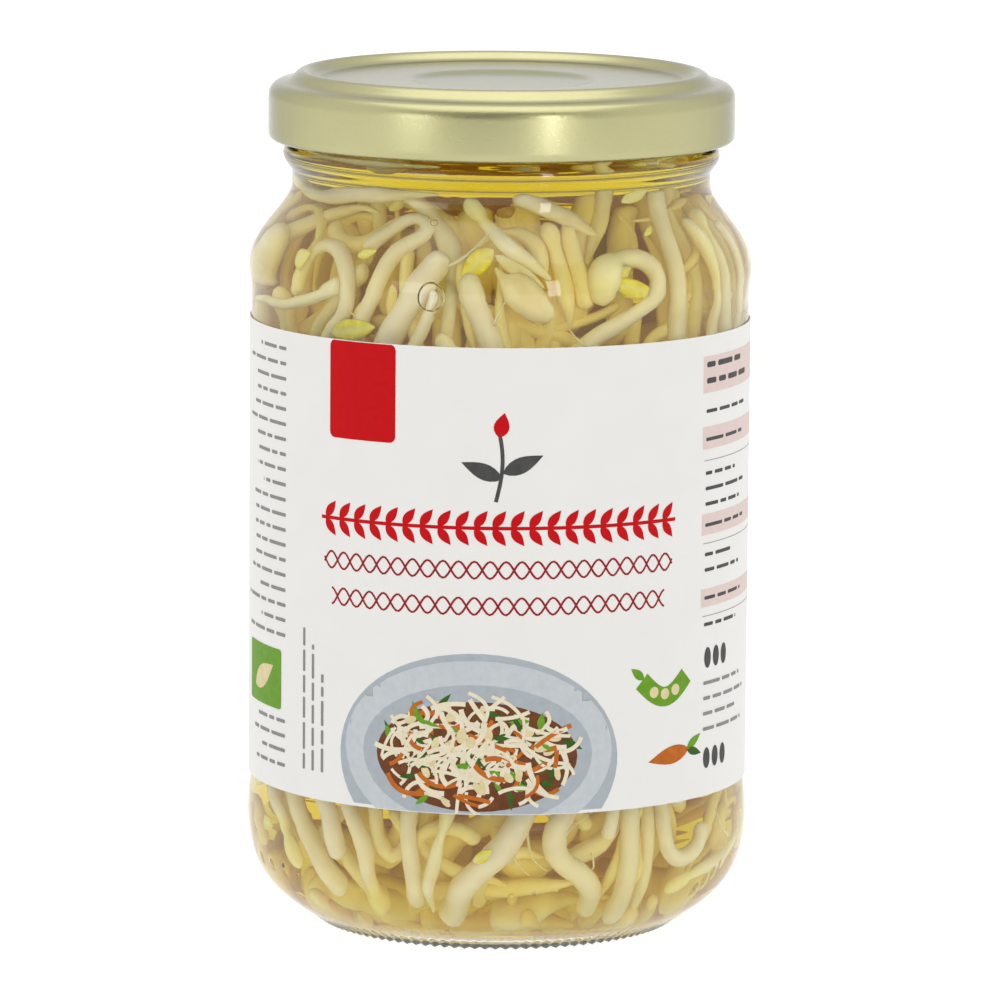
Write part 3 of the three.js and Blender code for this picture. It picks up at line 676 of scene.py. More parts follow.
def make_brine():
    """The whole volume of liquid, run a hair into the glass so that no air shows between them. Bubbles
    are hollows in it."""
    overlap = 0.05
    scene = bpy.context.scene
    wall = offset(room(28, 28), -overlap)
    wall = np.vstack([wall, [(MOUTH_R + overlap, BRINE_Z)], [(MOUTH_R - 0.9, BRINE_Z - 0.35)],
                      [(0, BRINE_Z - 0.4)]])

    def shape(angle, r, z):
        edge = (r > SIDE_WALL_R) & (z > 12)
        return np.where(edge, r + wall_wave(angle, z), r), z

    form = Form()
    turned(form, refined(wall, 3.0), scene.sprout_jar.turned_sides, shape)
    rng = random.Random(31)
    spots = [(-17.0, 93.6, 1.9), (-19.0, 102.8, 0.55)]
    for _ in range(scene.sprouts.bubble_count):
        z = rng.choice([rng.uniform(88, 107), rng.uniform(8, 22)])
        spots.append((rng.uniform(-180, 180), z, rng.uniform(0.2, 0.4)))
    for azimuth, z, r in spots:
        angle = math.radians(azimuth)
        reach = wall_radius(z) - r * 0.7 - 0.15
        bubble(form, (reach * math.sin(angle), -reach * math.cos(angle), z), (r, r * 0.6, r), 24)
    brine = form.build("brine_liquid", [shared(brine_material)])
    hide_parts("brine")


# ---------------------------------------------------------------- where a sprout may lie
HOLE = offset(np.vstack([room(3, 4), [(MOUTH_R, RIM_Z - 0.5)]]), FIT + LINING)
HOLE = np.vstack([HOLE[HOLE[:, 1] < BRINE_Z], [(MOUTH_R - FIT - LINING, BRINE_Z)]])
WALL = spaced(HOLE, 400)


def wall_radius(z):
    """Radius of the inner wall at a height."""
    inner = room(28, 28)
    low = inner[:, 1] < 50
    if z < 50:
        return float(np.interp(z, inner[low, 1], inner[low, 0]))
    return float(np.interp(z, inner[~low, 1], inner[~low, 0]))


_room_radii = {}


def room_radius(z, depth):
    """Radius at a height where the centre of a round stem keeps a distance from the hole's wall."""
    key = (z, depth)
    if key not in _room_radii:
        rise = np.abs(WALL[:, 1] - z)
        near = (rise <= depth) & (WALL[:, 0] >= SIDE_WALL_R)
        inscribed = math.cos(math.pi / JAR_SIDES)
        reach = WALL[near, 0] * inscribed - np.sqrt(depth ** 2 - rise[near] ** 2)
        _room_radii[key] = float(reach.min()) if near.any() else math.inf
    return _room_radii[key]


# How the view is bent: the height and half height of the shoulder's curve, the heel's top, and the shares of
# its depth by which a spot seems nearer the middle, and higher: everywhere, at the shoulder, at the heel.
CURVE_Z, CURVE_HALF, HEEL_TOP = 101, 6.5, 20
SIDE_SHARE, RISE_SHARE, SHOULDER_SHARE, HEEL_SHARE = 0.035, 0.1, 0.2, 0.13
SHOULDER_RISE, LOWEST_SPOT = 0.9, 6.6


def from_seen(azimuth, z, depth):
    """The true spot of one that is written as it is seen from the front: glass and brine bend the view, so it
    is spread sideways and sunk, more the deeper it lies, and most behind the curve of the shoulder."""
    away = min(1, abs(z - CURVE_Z) / CURVE_HALF)
    behind_shoulder = math.cos(away * math.pi / 2) * (SHOULDER_RISE + SHOULDER_SHARE * depth)
    behind_heel = HEEL_SHARE * depth if z < HEEL_TOP else 0
    sunk = RISE_SHARE * depth + behind_shoulder + behind_heel
    return azimuth * (1 + SIDE_SHARE * depth), max(z - sunk, LOWEST_SPOT), depth


def place(azimuth, z, depth):
    """A place in the jar from its angle off the front, its height and its depth behind the wall."""
    angle = math.radians(azimuth)
    r = room_radius(z, depth)
    return np.array([r * math.sin(angle), -r * math.cos(angle), z])


# ---------------------------------------------------------------- sprouts
HEADS = {"bean": (9, 1.42, 0.62), "knob": (6.5, 1.7, 0.8), "bud": (5, 1.15, 0.72), "none": (0, 1, 1)}
SAMPLES = 200


def smooth_line(points):
    """Centripetal Catmull-Rom curve through points, as a fine polyline."""
    points = np.array(points, float)
    ends = [2 * points[0] - points[1], 2 * points[-1] - points[-2]]
    padded = np.vstack([ends[:1], points, ends[1:]])
    count = len(points) - 1
    t = np.linspace(0, 1, SAMPLES + 1) * count
    span = np.minimum(t.astype(int), count - 1)
    w = (t - span)[:, None]
    p0, p1, p2, p3 = (padded[span + k] for k in range(4))

    def gap(a, b):
        return np.maximum(np.sum((a - b) ** 2, axis=1), 1e-12)[:, None] ** 0.25

    d0, d1, d2 = gap(p0, p1), gap(p1, p2), gap(p2, p3)
    t1 = ((p1 - p0) / d0 - (p2 - p0) / (d0 + d1) + (p2 - p1) / d1) * d1
    t2 = ((p2 - p1) / d1 - (p3 - p1) / (d1 + d2) + (p3 - p2) / d2) * d1
    c2 = -3 * p1 + 3 * p2 - 2 * t1 - t2
    c3 = 2 * p1 - 2 * p2 + t1 + t2
    return p1 + t1 * w + c2 * w ** 2 + c3 * w ** 3


def seen_line(route, depth=FRONT):
    """Places from spots (azimuth, height[, depth]) that are written as they are seen from the front."""
    return [place(*from_seen(*spot[:2], spot[2] if len(spot) > 2 else depth)) for spot in route]


class Sprout:
    """A sprout's line from its head on, its thickness, and its kind of head."""

    def __init__(self, spots, r, head="none", root=0, name="", blades=()):
        self.set_line(spots)
        self.r, self.head, self.root, self.name, self.blades = r, head, root, name, blades

    def set_line(self, spots):
        self.spots = np.array(spots)
        self.line = smooth_line(self.spots)
        steps = np.linalg.norm(np.diff(self.line, axis=0), axis=1)
        self.length = float(steps.sum())
        self.beads = spaced(self.line, math.ceil(self.length / BEAD_STEP))

    @property
    def widest(self):
        return self.r * max(1, HEADS[self.head][1])

    def rooted(self):
        """The same sprout with its last place moved into the core."""
        spots = self.spots.copy()
        inward = (CORE_R - 3) / math.hypot(*spots[-1][:2])
        spots[-1, :2] *= inward
        spots[-1, 2] = min(max(spots[-1, 2], 14), 98)
        self.set_line(spots)
        self.root = 0
        return self

    def girth(self, s):
        """Radius at distances along it: head, neck, stem, and a root that thins over its last stretch."""
        length, bulge, neck = HEADS[self.head]
        radius = np.full_like(s, self.r)
        if length:
            in_neck = (s >= length) & (s < length + 5)
            radius[in_neck] *= (neck + (1 - neck) * (s - length) / 5)[in_neck]
            in_head = s < length
            swell = np.sin(math.pi * (0.12 + 0.76 * s / length) ** 0.9)
            radius[in_head] = (self.r * bulge * swell)[in_head]
        to_tip = self.length - s
        if self.root:
            thin = to_tip < self.root
            radius[thin] *= (0.25 + 0.75 * to_tip / self.root)[thin]
        return radius


def seeded(seed):
    """Mulberry32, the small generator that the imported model's sprouts were laid with."""
    mask = 0xFFFFFFFF
    state = seed

    def draw():
        nonlocal state
        state = (state + 0x6D2B79F5) & mask
        t = ((state ^ (state >> 15)) * (1 | state)) & mask
        t = ((t + (((t ^ (t >> 7)) * (61 | t)) & mask)) & mask) ^ t
        return (t ^ (t >> 14)) / 4294967296

    return draw


def wild_sprout(draw, start, depth, name=""):
    """A sprout laid by rule: a crook under the head, then a stem that wanders; None if it leaves the jar."""
    step = 4.6
    azimuth, z = start
    heading = draw() * math.pi * 2
    turn = (-1 if draw() < 0.5 else 1) * (0.85 if draw() < 0.65 else 0.25)
    wander = (draw() - 0.5) * 0.35
    steps = 7 + math.floor(draw() * 7)
    spots = [place(azimuth, z, depth)]
    for i in range(steps):
        heading += turn if 0 < i < 4 else wander + (draw() - 0.5) * 0.3
        azimuth += math.degrees(math.cos(heading) * step / room_radius(z, depth))
        z += math.sin(heading) * step
        if z < LOWEST or z > HIGHEST:
            return None
        spots.append(place(azimuth, z, depth))
    head = "bean" if draw() < 0.55 else "bud"
    r = 1.65 + 0.4 * draw()
    return Sprout(spots, r, head, 9 + 6 * draw(), name)


class Crowd:
    """Sprouts already laid, held as arrays so that a new one is soon tested against them all."""

    def __init__(self, sprouts=()):
        self.beads, self.widths = np.zeros((0, 3)), np.zeros(0)
        for sprout in sprouts:
            self.add(sprout)

    def add(self, sprout):
        self.beads = np.vstack([self.beads, sprout.beads])
        self.widths = np.concatenate([self.widths, np.full(len(sprout.beads), sprout.widest)])

    def has_room(self, sprout, clear):
        reach = sprout.widest + 3 + clear
        low, high = sprout.beads.min(0) - reach, sprout.beads.max(0) + reach
        near = ((self.beads > low) & (self.beads < high)).all(1)
        apart = sprout.widest + self.widths[near] + clear
        gaps = ((sprout.beads[:, None] - self.beads[near][None]) ** 2).sum(-1)
        return not (gaps < apart * apart).any()


def is_clear(sprout, crowd):
    """Whether a new sprout keeps clear of others and of itself."""
    if not crowd.has_room(sprout, CLEAR):
        return False
    own = 2 * sprout.widest + CLEAR
    skip = math.ceil(own * 1.6 / BEAD_STEP)
    count = len(sprout.beads)
    gaps = ((sprout.beads[:, None] - sprout.beads[None]) ** 2).sum(-1)
    later = np.arange(count)[None] - np.arange(count)[:, None] >= skip
    return not (gaps[later] < own * own).any()


PLACED = [
    Sprout(seen_line([(-58.6, 92.5), (-55.1, 95.5), (-53.4, 97.8), (-50.2, 98.7), (-46, 98.5),
            (-42.3, 97.2), (-39.5, 95), (-39, 92.7), (-40.4, 90.2), (-44, 87.8), (-48, 84), (-51, 79)]),
           1.05, "bud", 8, name="sprout_left_loop"),
    Sprout(seen_line([(-36.9, 99), (-34.4, 100.7), (-31, 102.2), (-27.6, 103.5), (-24, 103.9),
            (-21, 103), (-21.4, 101.7), (-23.6, 100.9), (-27.1, 99.6), (-29.1, 97.8), (-30.5, 95.1),
            (-32.8, 92.2), (-34.3, 90.2), (-36.5, 86), (-38.5, 81), (-40, 76)]),
           1.15, root=10, name="sprout_hairpin"),
    Sprout(seen_line([(-14.2, 99.4), (-17.6, 96.8), (-20.8, 94), (-23.8, 91), (-26.6, 88), (-29.5, 84),
            (-31, 78), (-31, 71)]), 1.8, root=12, name="sprout_slanted"),
    Sprout(seen_line([(-8.6, 96.9), (-6.6, 94), (-4.6, 91.3), (-2.6, 88.4), (-0.6, 84.5), (1.5, 79),
            (2, 72)]), 1.5, root=10, name="sprout_yellow_leaf",
           blades=[((-1.8, 100.2), (-9.6, 96.6), 3, 1.1)]),
    Sprout(seen_line([(12.2, 90.8), (8.6, 92.6), (4.6, 94.4), (1.2, 96), (-1.4, 97.9)]),
           1.55, "bean", 3, name="sprout_split_bean",
           blades=[((-1.4, 99.5), (10.6, 95), 2, 1.2)]),
    Sprout(seen_line([(25, 92.8), (25.1, 95.1), (27.8, 97.2), (31.8, 98.3), (36.4, 98.3), (40.1, 97),
            (41, 95.2), (39.4, 93.4), (35.4, 91.9), (29.4, 89.9), (22.8, 87.9), (18, 85.6), (14, 82.6),
            (11, 78)]), 1.3, "knob", 8, name="sprout_right_loop",
           blades=[((26.6, 95.9), (34, 97.3), 2.2, 0.9), ((27.4, 95.3), (39.5, 93.8), 1.7, 0.9)]),
    Sprout(seen_line([(4, 107.8), (10.9, 106.2), (16.6, 105), (21.6, 103.6), (26.6, 101.6)]),
           1.5, root=4, name="sprout_neck_curve"),
    Sprout(seen_line([(51.5, 107.5), (51.4, 104), (48.6, 98.7), (47.2, 94.2), (46.8, 89), (46.6, 83),
            (46, 76), (44, 70)]), 1.35, root=10, name="sprout_upright"),
    Sprout(seen_line([(70, 103), (67.5, 98.5), (66.6, 94), (67, 88), (67.5, 82), (66, 75)]),
           1.5, "bud", 10, name="sprout_side"),
    Sprout(seen_line([(34.6, 33), (34, 28), (33.7, 22.4), (33.7, 18.3), (34.1, 13.5), (35.2, 9.4),
            (37.5, 6.8)]), 1.4, name="sprout_heel_right"),
    Sprout(seen_line([(-15.2, 6.6), (-12, 8.4), (-8, 11.1), (-2.3, 14.1), (2.1, 16.6), (6, 20.4),
            (9, 26), (10.5, 33)]), 1.85, root=10, name="sprout_heel_slanted"),
    Sprout(seen_line([(-22, 8.8), (-20.4, 11.4), (-20.9, 14.6), (-21.4, 18), (-20.8, 22), (-20, 29),
            (-19, 37)]), 1.3, root=8, name="sprout_heel_upright"),
    Sprout(seen_line([(-35.6, 7.8), (-33, 11.8), (-33.4, 14.9), (-36.1, 18.5), (-38.4, 21.1),
            (-39.6, 24), (-41, 29), (-42, 36)]), 1.3, "bud", 10, name="sprout_heel_left"),
    Sprout(seen_line([(27.5, 8.2), (24.5, 10.6), (20.6, 12.6), (16.9, 14), (14.3, 15.8), (14.2, 18.2),
            (16, 20.2), (19, 23), (22, 28), (24, 34)]), 1.5, root=10, name="sprout_heel_hook"),
    Sprout(seen_line([(-43.5, 9.2), (-46.5, 11.6), (-49.6, 14), (-53, 16.2), (-56, 19), (-58.5, 23),
            (-61, 30), (-62, 36)]), 1.4, root=9, name="sprout_heel_far_left"),
]

PACKED = [Sprout(seen_line(route, BACK), r, head) for r, head, route in [
    (1.9, "none", [(-76, 101.5), (-66, 101.8), (-57, 101.4), (-50, 99.8), (-43.5, 97.2), (-41.6, 93.8),
                   (-44, 90.8), (-50, 88.2), (-58, 85), (-66, 80, 13)]),
    (1.5, "bean", [(-38.4, 104.9), (-37.4, 107.4), (-40.5, 109), (-44.4, 108.4), (-46.4, 106),
                   (-44.6, 103.6), (-41, 101, 9), (-38, 97, 13)]),
    (1.9, "none", [(-31, 106.4), (-25, 105.8), (-19, 104.1), (-13.6, 101.6), (-10, 98), (-9, 93, 10),
                   (-8, 88, 14)]),
    (1.9, "none", [(-13.4, 99.6), (-13, 95), (-12.8, 90), (-12, 84), (-9, 78, 13)]),
    (1.7, "bean", [(-5, 106.2), (-8.4, 103.4), (-5, 100), (1, 97, 9), (4, 92, 13)]),
    (1.8, "none", [(8, 107), (4, 104.4), (0.5, 101.8), (-3, 99.4), (-6, 95, 10), (-7, 90, 14)]),
    (1.6, "none", [(9, 108), (8.4, 103), (10.4, 99.2), (12.6, 95.8), (14, 91), (14, 86, 12)]),
    (1.8, "none", [(2, 95.5), (3, 91.6), (5, 87.6), (7, 82), (8, 76, 13)]),
    (2.0, "none", [(30, 108), (26, 104.6), (21, 101.4), (18, 97), (17.5, 92), (19, 86, 12)]),
    (1.9, "none", [(54, 107.5), (51.4, 103), (49.4, 98.6), (48.6, 94), (48, 89), (46.6, 83),
                   (44, 76, 13)]),
    (1.7, "none", [(44, 105.4), (39, 102.6), (34.6, 99.6), (31, 95), (29, 89), (27, 83, 12)]),
    (1.9, "none", [(66, 107.5), (64, 102), (62.4, 96), (62, 90), (61, 84, 12)]),
    (1.9, "none", [(-47, 16), (-43.6, 12.6), (-43, 10.6, 9), (-44, 14, 13), (-46, 20, 17)]),
    (1.7, "none", [(-33.6, 22), (-32, 17.4), (-28.4, 14.8), (-24.6, 16.6), (-21, 20.2), (-17, 26, 12)]),
    (1.8, "none", [(4, 21), (-4, 19.6), (-10.6, 17.4), (-16, 14.4), (-19, 12, 11), (-20, 14, 16)]),
    (1.6, "bean", [(21, 17.2), (26, 18.8), (31.4, 21.4), (36, 25), (39, 31, 12)]),
    (2.0, "none", [(44, 17), (45.6, 13.4), (48, 10.8), (53, 10.4), (58, 12.4, 10), (60, 18, 15)]),
]]


def free_sprouts():
    """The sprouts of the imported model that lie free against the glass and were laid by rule."""
    draw = seeded(20)
    found, crowd = [], Crowd(PLACED)
    while len(found) < FREE_SPROUTS:
        name = f"sprout_{len(found) + 1:02d}"
        start = (draw() * 360, LOWEST + draw() * (HIGHEST - LOWEST))
        sprout = wild_sprout(draw, start, FRONT, name)
        if sprout and is_clear(sprout, crowd):
            found.append(sprout)
            crowd.add(sprout)
    return found


def packed_sprouts():
    """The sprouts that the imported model's tangle is fused from."""
    draw = seeded(7)
    laid = []
    while len(laid) < PACKED_SPROUTS:
        turn = (len(laid) / PLASTIC) % 1
        rise = (len(laid) / PLASTIC ** 2 + 0.1 * draw()) % 1
        sprout = wild_sprout(draw, (360 * turn, 14 + 90 * rise), BACK + 4 * draw())
        if sprout:
            laid.append(sprout)
    return [sprout.rooted() for sprout in [*PACKED, *laid]]


FREE = free_sprouts()
TANGLE = packed_sprouts()


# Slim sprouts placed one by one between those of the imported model: (radius, head, depth, route as seen).
SLIM = [
    (1.3, "none", 5.0, [(-74, 96), (-65.7, 99.6), (-58.5, 102.1), (-49.9, 103.9), (-44.3, 104.6),
                        (-38, 104)]),
    (1.0, "none", 6.5, [(-40.5, 109.5), (-40.2, 105.2), (-36.9, 101.8), (-35, 97)]),
    (0.9, "bud", 5.0, [(-34.5, 104.6), (-32.5, 105.5), (-32.1, 106.9), (-34, 108), (-37, 109)]),
    (0.95, "none", 4.6, [(-13, 99.6), (-11.9, 96.4), (-12.2, 91), (-12.6, 87.5), (-12.6, 80)]),
    (1.4, "none", 5.0, [(-30, 107), (-25.6, 106.4), (-18.2, 103.2), (-12.6, 99.4), (-11.5, 96), (-12, 90)]),
    (1.2, "none", 6.0, [(33, 110), (32.6, 107.4), (30, 103.4), (26.4, 101), (22, 98)]),
    (1.1, "none", 6.0, [(62, 109), (58, 104), (56, 99), (55, 94), (54, 88), (52, 82)]),
    (1.0, "none", 5.0, [(75, 100), (73, 95), (73.5, 90), (73, 84)]),
    (1.0, "none", 4.6, [(-36.1, 8.3), (-36.6, 10.6), (-38.6, 13.3), (-41.3, 16.2), (-44, 18.4)]),
    (0.9, "none", 5.5, [(-52, 12), (-46.6, 16.2), (-42, 18.5), (-37.4, 20.5), (-32, 23.5)]),
    (1.0, "none", 4.8, [(-30.6, 25), (-30.1, 20.6), (-29.2, 16.4), (-25.5, 14.7), (-21.4, 16.4),
                        (-17, 19)]),
    (1.2, "none", 5.0, [(14.7, 14), (21.4, 15.4), (26.3, 16.8), (29.3, 18.6), (33, 22)]),
    (1.0, "none", 3.6, [(44.5, 6.8), (40.6, 10.6), (39.5, 15.1), (39, 20), (38.6, 26)]),
    (1.6, "none", 5.5, [(-2, 8), (2.6, 8.2), (10.3, 8.7), (18, 9.5), (26.3, 9.6)]),
    (1.1, "none", 4.6, [(-34.4, 96.6), (-38.8, 94.4), (-42.3, 92.2), (-46.2, 89.7), (-49.6, 86.9),
                        (-54, 82)]),
    (1.2, "knob", 4.8, [(-66.5, 93.6), (-64, 90), (-62.6, 85), (-62, 80)]),
]
# How the jar is filled, layer by layer and last its floor: (depth behind the wall, share of the sprouts, gap
# kept to others). Gaps are reckoned from the widest part of each sprout. Below zero, sprouts may press into
# each other, more so further in, where it shows less.
LAYERS = [(1.9, 0.26, -0.8), (4.3, 0.25, -1.4), (6.8, 0.18, -1.9), (0, 0.12, -1.6)]
TRIES = 25
# Sprouts laid by rule in the first layer, which show in full, are longer than this.
SHORTEST_IN_FRONT = 17
# (ring step, sides) of the filling sprouts: those placed one by one, then layer by layer.
FILL_DETAIL = [(1.0, 12), (1.0, 12), (1.1, 11), (1.3, 10), (1.4, 10)]
NEAR_LAYERS = 2
SLIM_STEP, SLIM_LOWEST, SLIM_HIGHEST = 3.2, 7.2, 105
BED_LOWEST, BED_HIGHEST, BED_REACH = 5.9, 9.5, 25


def slim_sprout(rng, azimuth, z, depth):
    """A short, slim sprout that runs up or down from a place; None if it leaves the jar."""
    heading = rng.choice((-1, 1)) * rng.gauss(math.pi / 2, 0.5)
    turn = rng.choice((-1, 1)) * (rng.uniform(0.5, 0.8) if rng.random() < 0.2 else rng.uniform(0, 0.18))
    spots = [place(azimuth, z, depth)]
    for i in range(rng.randint(4, 9)):
        heading += turn if i < 4 else rng.uniform(-0.3, 0.3)
        azimuth += math.degrees(math.cos(heading) * SLIM_STEP / room_radius(z, depth))
        z += math.sin(heading) * SLIM_STEP
        if not SLIM_LOWEST < z < SLIM_HIGHEST:
            return None
        spots.append(place(azimuth, z, depth + 0.4 * (i % 2)))
    return slim_along(rng, spots)


def slim_on_floor(rng):
    """A slim sprout that lies on the jar's floor; None if it leaves it."""
    spot = np.array([rng.uniform(-BED_REACH, BED_REACH), rng.uniform(-BED_REACH, BED_REACH),
                     rng.uniform(BED_LOWEST, BED_HIGHEST)])
    heading, turn = rng.uniform(0, 2 * math.pi), rng.uniform(-0.5, 0.5)
    spots = [spot]
    for _ in range(rng.randint(5, 10)):
        heading += turn
        way = np.array([math.cos(heading), math.sin(heading), rng.uniform(-0.15, 0.2)])
        spot = spot + SLIM_STEP * way
        spot[2] = max(spot[2], BED_LOWEST)
        if math.hypot(spot[0], spot[1]) > room_radius(max(spot[2], 7), 2.0) - 1:
            return None
        spots.append(spot)
    return slim_along(rng, spots)


def slim_along(rng, spots):
    head = rng.choices(("bean", "bud", "none"), (3, 3, 5))[0]
    return Sprout(spots, rng.uniform(0.85, 1.4), head, rng.uniform(5, 9))


def fill_sprouts(count):
    """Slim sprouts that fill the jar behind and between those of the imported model, most of them where the
    glass is bare. Returns one list for each layer, and one for the floor."""
    rng = random.Random(5)
    by_hand = [Sprout(seen_line(route, depth), r, head, 6) for r, head, depth, route in SLIM]
    crowd = Crowd([*PLACED, *FREE, *TANGLE, *by_hand])
    layers = [by_hand]
    shortest = SHORTEST_IN_FRONT
    for depth, share, gap in LAYERS:
        found, wanted = [], round(count * share)
        for _ in range(wanted * TRIES):
            if len(found) >= wanted:
                break
            z = rng.choice((rng.uniform(82, HIGHEST), rng.uniform(90, 104), rng.uniform(7.4, 26)))
            sprout = slim_sprout(rng, rng.uniform(0, 360), z, depth) if depth else slim_on_floor(rng)
            if sprout and sprout.length > shortest and crowd.has_room(sprout, gap):
                crowd.add(sprout)
                found.append(sprout)
        shortest = 0
        layers.append(found)
    return layers


def grow(form, sprout, step, sides, rng):
    """A sprout's flesh: an uneven stem, a head with the seam of its two seed leaves, and a root."""
    rings = max(8, math.ceil(sprout.length / step))
    end = np.array([0, 0.05, 0.2, 0.5])
    s = np.concatenate([end, np.linspace(0.9, sprout.length - 0.9, rings), sprout.length - end[::-1]])
    lengths = np.concatenate([[0], np.cumsum(np.linalg.norm(np.diff(sprout.line, axis=0), axis=1))])
    centres = np.column_stack([np.interp(s, lengths, sprout.line[:, k]) for k in range(3)])
    phase = [rng.uniform(0, 6.3) for _ in range(4)]
    radius = sprout.girth(np.minimum(s, sprout.length - 0.02))
    radius *= 1 + 0.045 * np.sin(s / 3.1 + phase[0]) + 0.03 * np.sin(s / 1.3 + phase[1])
    for away, full in ((s, radius[4]), (sprout.length - s, radius[-5])):
        cap = np.clip(away / (full * 0.9), 0, 1)
        radius *= np.sqrt(1 - (1 - cap) ** 2) * 0.985 + 0.015
    turn = np.linspace(0, 2 * math.pi, sides, endpoint=False)
    flat = 1 + 0.05 * np.cos(2 * turn[None] + phase[2] + s[:, None] / 17)
    head = HEADS[sprout.head][0]
    in_head = np.clip((head - s) / 2, 0, 1) if head else np.zeros_like(s)
    crease = np.exp(-(((turn[None] - phase[3]) % math.pi - math.pi / 2) / 0.3) ** 2)
    shaped = radius[:, None] * flat * (1 - 0.16 * in_head[:, None] * crease)
    tones = np.zeros((len(s), 4))
    tones[:, 0] = np.clip((head + 2.5 - s) / 3, 0, 1) if head else 0
    to_tip = sprout.length - s
    tones[:, 1] = np.clip(1 - to_tip / 12, 0, 1) * 0.8 if sprout.root else 0
    tones[:, 2] = rng.uniform(0, 0.16) + (0.25 * tones[:, 0] if sprout.head == "bud" else 0)
    tones[:, 3] = 1
    tube(form, centres, shaped, sides, tones)


def leaflet(form, a, b, width, thick, curl=0.0, slot=0, pale=0.0):
    """A small pointed leaf from a to b, folded along its rib, its flat side to the glass."""
    a, b = np.array(a), np.array(b)
    along = b - a
    length = np.linalg.norm(along)
    along /= length
    outward = np.array([*((a + b) / 2)[:2], 0])
    outward /= np.linalg.norm(outward)
    side = np.cross(along, outward)
    side /= np.linalg.norm(side)
    normal = np.cross(side, along)
    normal *= math.copysign(1, normal.dot(outward))
    rows, columns = 22, 11
    t = np.linspace(0, 1, rows)
    half = width / 2 * np.sin(math.pi * t ** 0.85) ** 0.75
    bow = curl * np.sin(math.pi * t)
    x = np.linspace(-1, 1, columns)
    points = []
    for sign in (1, -1):
        for i in range(rows):
            body = thick / 2 * math.sin(math.pi * min(max(t[i], 0.02), 0.98)) ** 0.5
            for k in range(columns):
                height = bow[i] - 0.28 * half[i] * (1 - abs(x[k])) + sign * body * math.sqrt(1 - x[k] ** 2)
                points.append(a + along * length * t[i] + side * half[i] * x[k] + normal * height)
    faces = []
    back = rows * columns
    for i in range(rows - 1):
        for k in range(columns - 1):
            q = i * columns + k
            faces.append((q, q + 1, q + columns + 1, q + columns))
            faces.append((back + q, back + q + columns, back + q + columns + 1, back + q + 1))
    tones = np.zeros((len(points), 4))
    base = np.repeat(np.clip(1 - t * 4, 0, 1), columns)
    rib = np.tile(np.clip(1 - np.abs(x) / 0.55, 0, 1), rows) * 0.7
    tones[:, 0] = np.clip(pale + np.tile(np.maximum(base, rib), 2), 0, 1)
    tones[:, 3] = 1
    form.add(points, faces, tones, slot)


def welded(thing, distance):
    """Joins a mesh's doubled points, so that it closes, and turns its faces outward."""
    work = bmesh.new()
    work.from_mesh(thing.data)
    bmesh.ops.remove_doubles(work, verts=work.verts, dist=distance)
    bmesh.ops.dissolve_degenerate(work, edges=work.edges, dist=distance)
    bmesh.ops.recalc_face_normals(work, faces=work.faces)
    work.to_mesh(thing.data)
    work.free()
    return thing


def make_placed():
    settings = bpy.context.scene.sprouts
    rng = random.Random(12)
    for sprout in [*PLACED, *FREE]:
        form = Form()
        grow(form, sprout, settings.ring_step / MM, settings.stem_sides, rng)
        for from_, to, width, thick in sprout.blades:
            bright = sprout.name != "sprout_split_bean"
            ends = [place(*from_seen(*spot, FRONT)) for spot in (from_, to)]
            leaflet(form, *ends, width, thick, 0.3, 1 if bright else 0, 0.0 if bright else 1.0)
        made = form.build(f"{sprout.name}_grown", [shared(sprout_material), shared(leaflet_material)],
                          with_tones=True)
        welded(made, 2e-6)
        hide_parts(sprout.name)


def make_tangle():
    """The tangle behind the sprouts at the glass. It lets lamp light by, as the clear flesh would."""
    settings = bpy.context.scene.sprouts
    rng = random.Random(13)
    form = Form()
    for sprout in TANGLE:
        grow(form, sprout, settings.ring_step / MM * 1.1, settings.stem_sides - 2, rng)
    made = form.build("sprout_tangle_grown", [shared(steeped_material)], with_tones=True)
    made.visible_shadow = False
    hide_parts("sprout_tangle")


def make_fill():
    """The filling sprouts, a piece for each layer. The deep layers let lamp light by, as the tangle does."""
    settings = bpy.context.scene.sprouts
    rng = random.Random(14)
    layers = fill_sprouts(settings.fill_count)
    for k, (layer, (step, sides)) in enumerate(zip(layers, FILL_DETAIL)):
        form = Form()
        for sprout in layer:
            grow(form, sprout, step, sides, rng)
        near = k < NEAR_LAYERS
        maker = sprout_material if near else steeped_material
        made = form.build(f"filling_sprouts_{k + 1}", [shared(maker)], with_tones=True)
        made.visible_shadow = near


# Loose first leaves: (from, to, width, thickness, how pale), each place an (azimuth, height).
LOOSE_LEAVES = [
    ((-38.6, 98.2), (-33.4, 99.2), 1.3, 0.5, 0.2),
    ((-44.0, 87.6), (-31.0, 89.0), 3.2, 1.3, 0.0),
    ((42.0, 101.0), (46.0, 102.2), 1.2, 0.5, 0.2),
    ((37.5, 106.2), (48.0, 108.0), 2.4, 0.8, 0.5),
    ((-59.5, 95.8), (-55.0, 97.4), 2.2, 0.8, 0.6),
    ((-5.6, 14.4), (0.4, 16.0), 1.6, 0.6, 0.1),
]
# Root ends that lie on the other sprouts: (from, to, radius).
LOOSE_ROOTS = [((4, 19.5), (9, 12), 0.32), ((8, 19), (14, 12.5), 0.28)]
# Seed coats: (azimuth, height, half length, tilt).
SEED_COATS = [(1.5, 104.6, 1.7, 30), (140, 95, 1.8, 70), (-120, 13, 1.4, 10)]


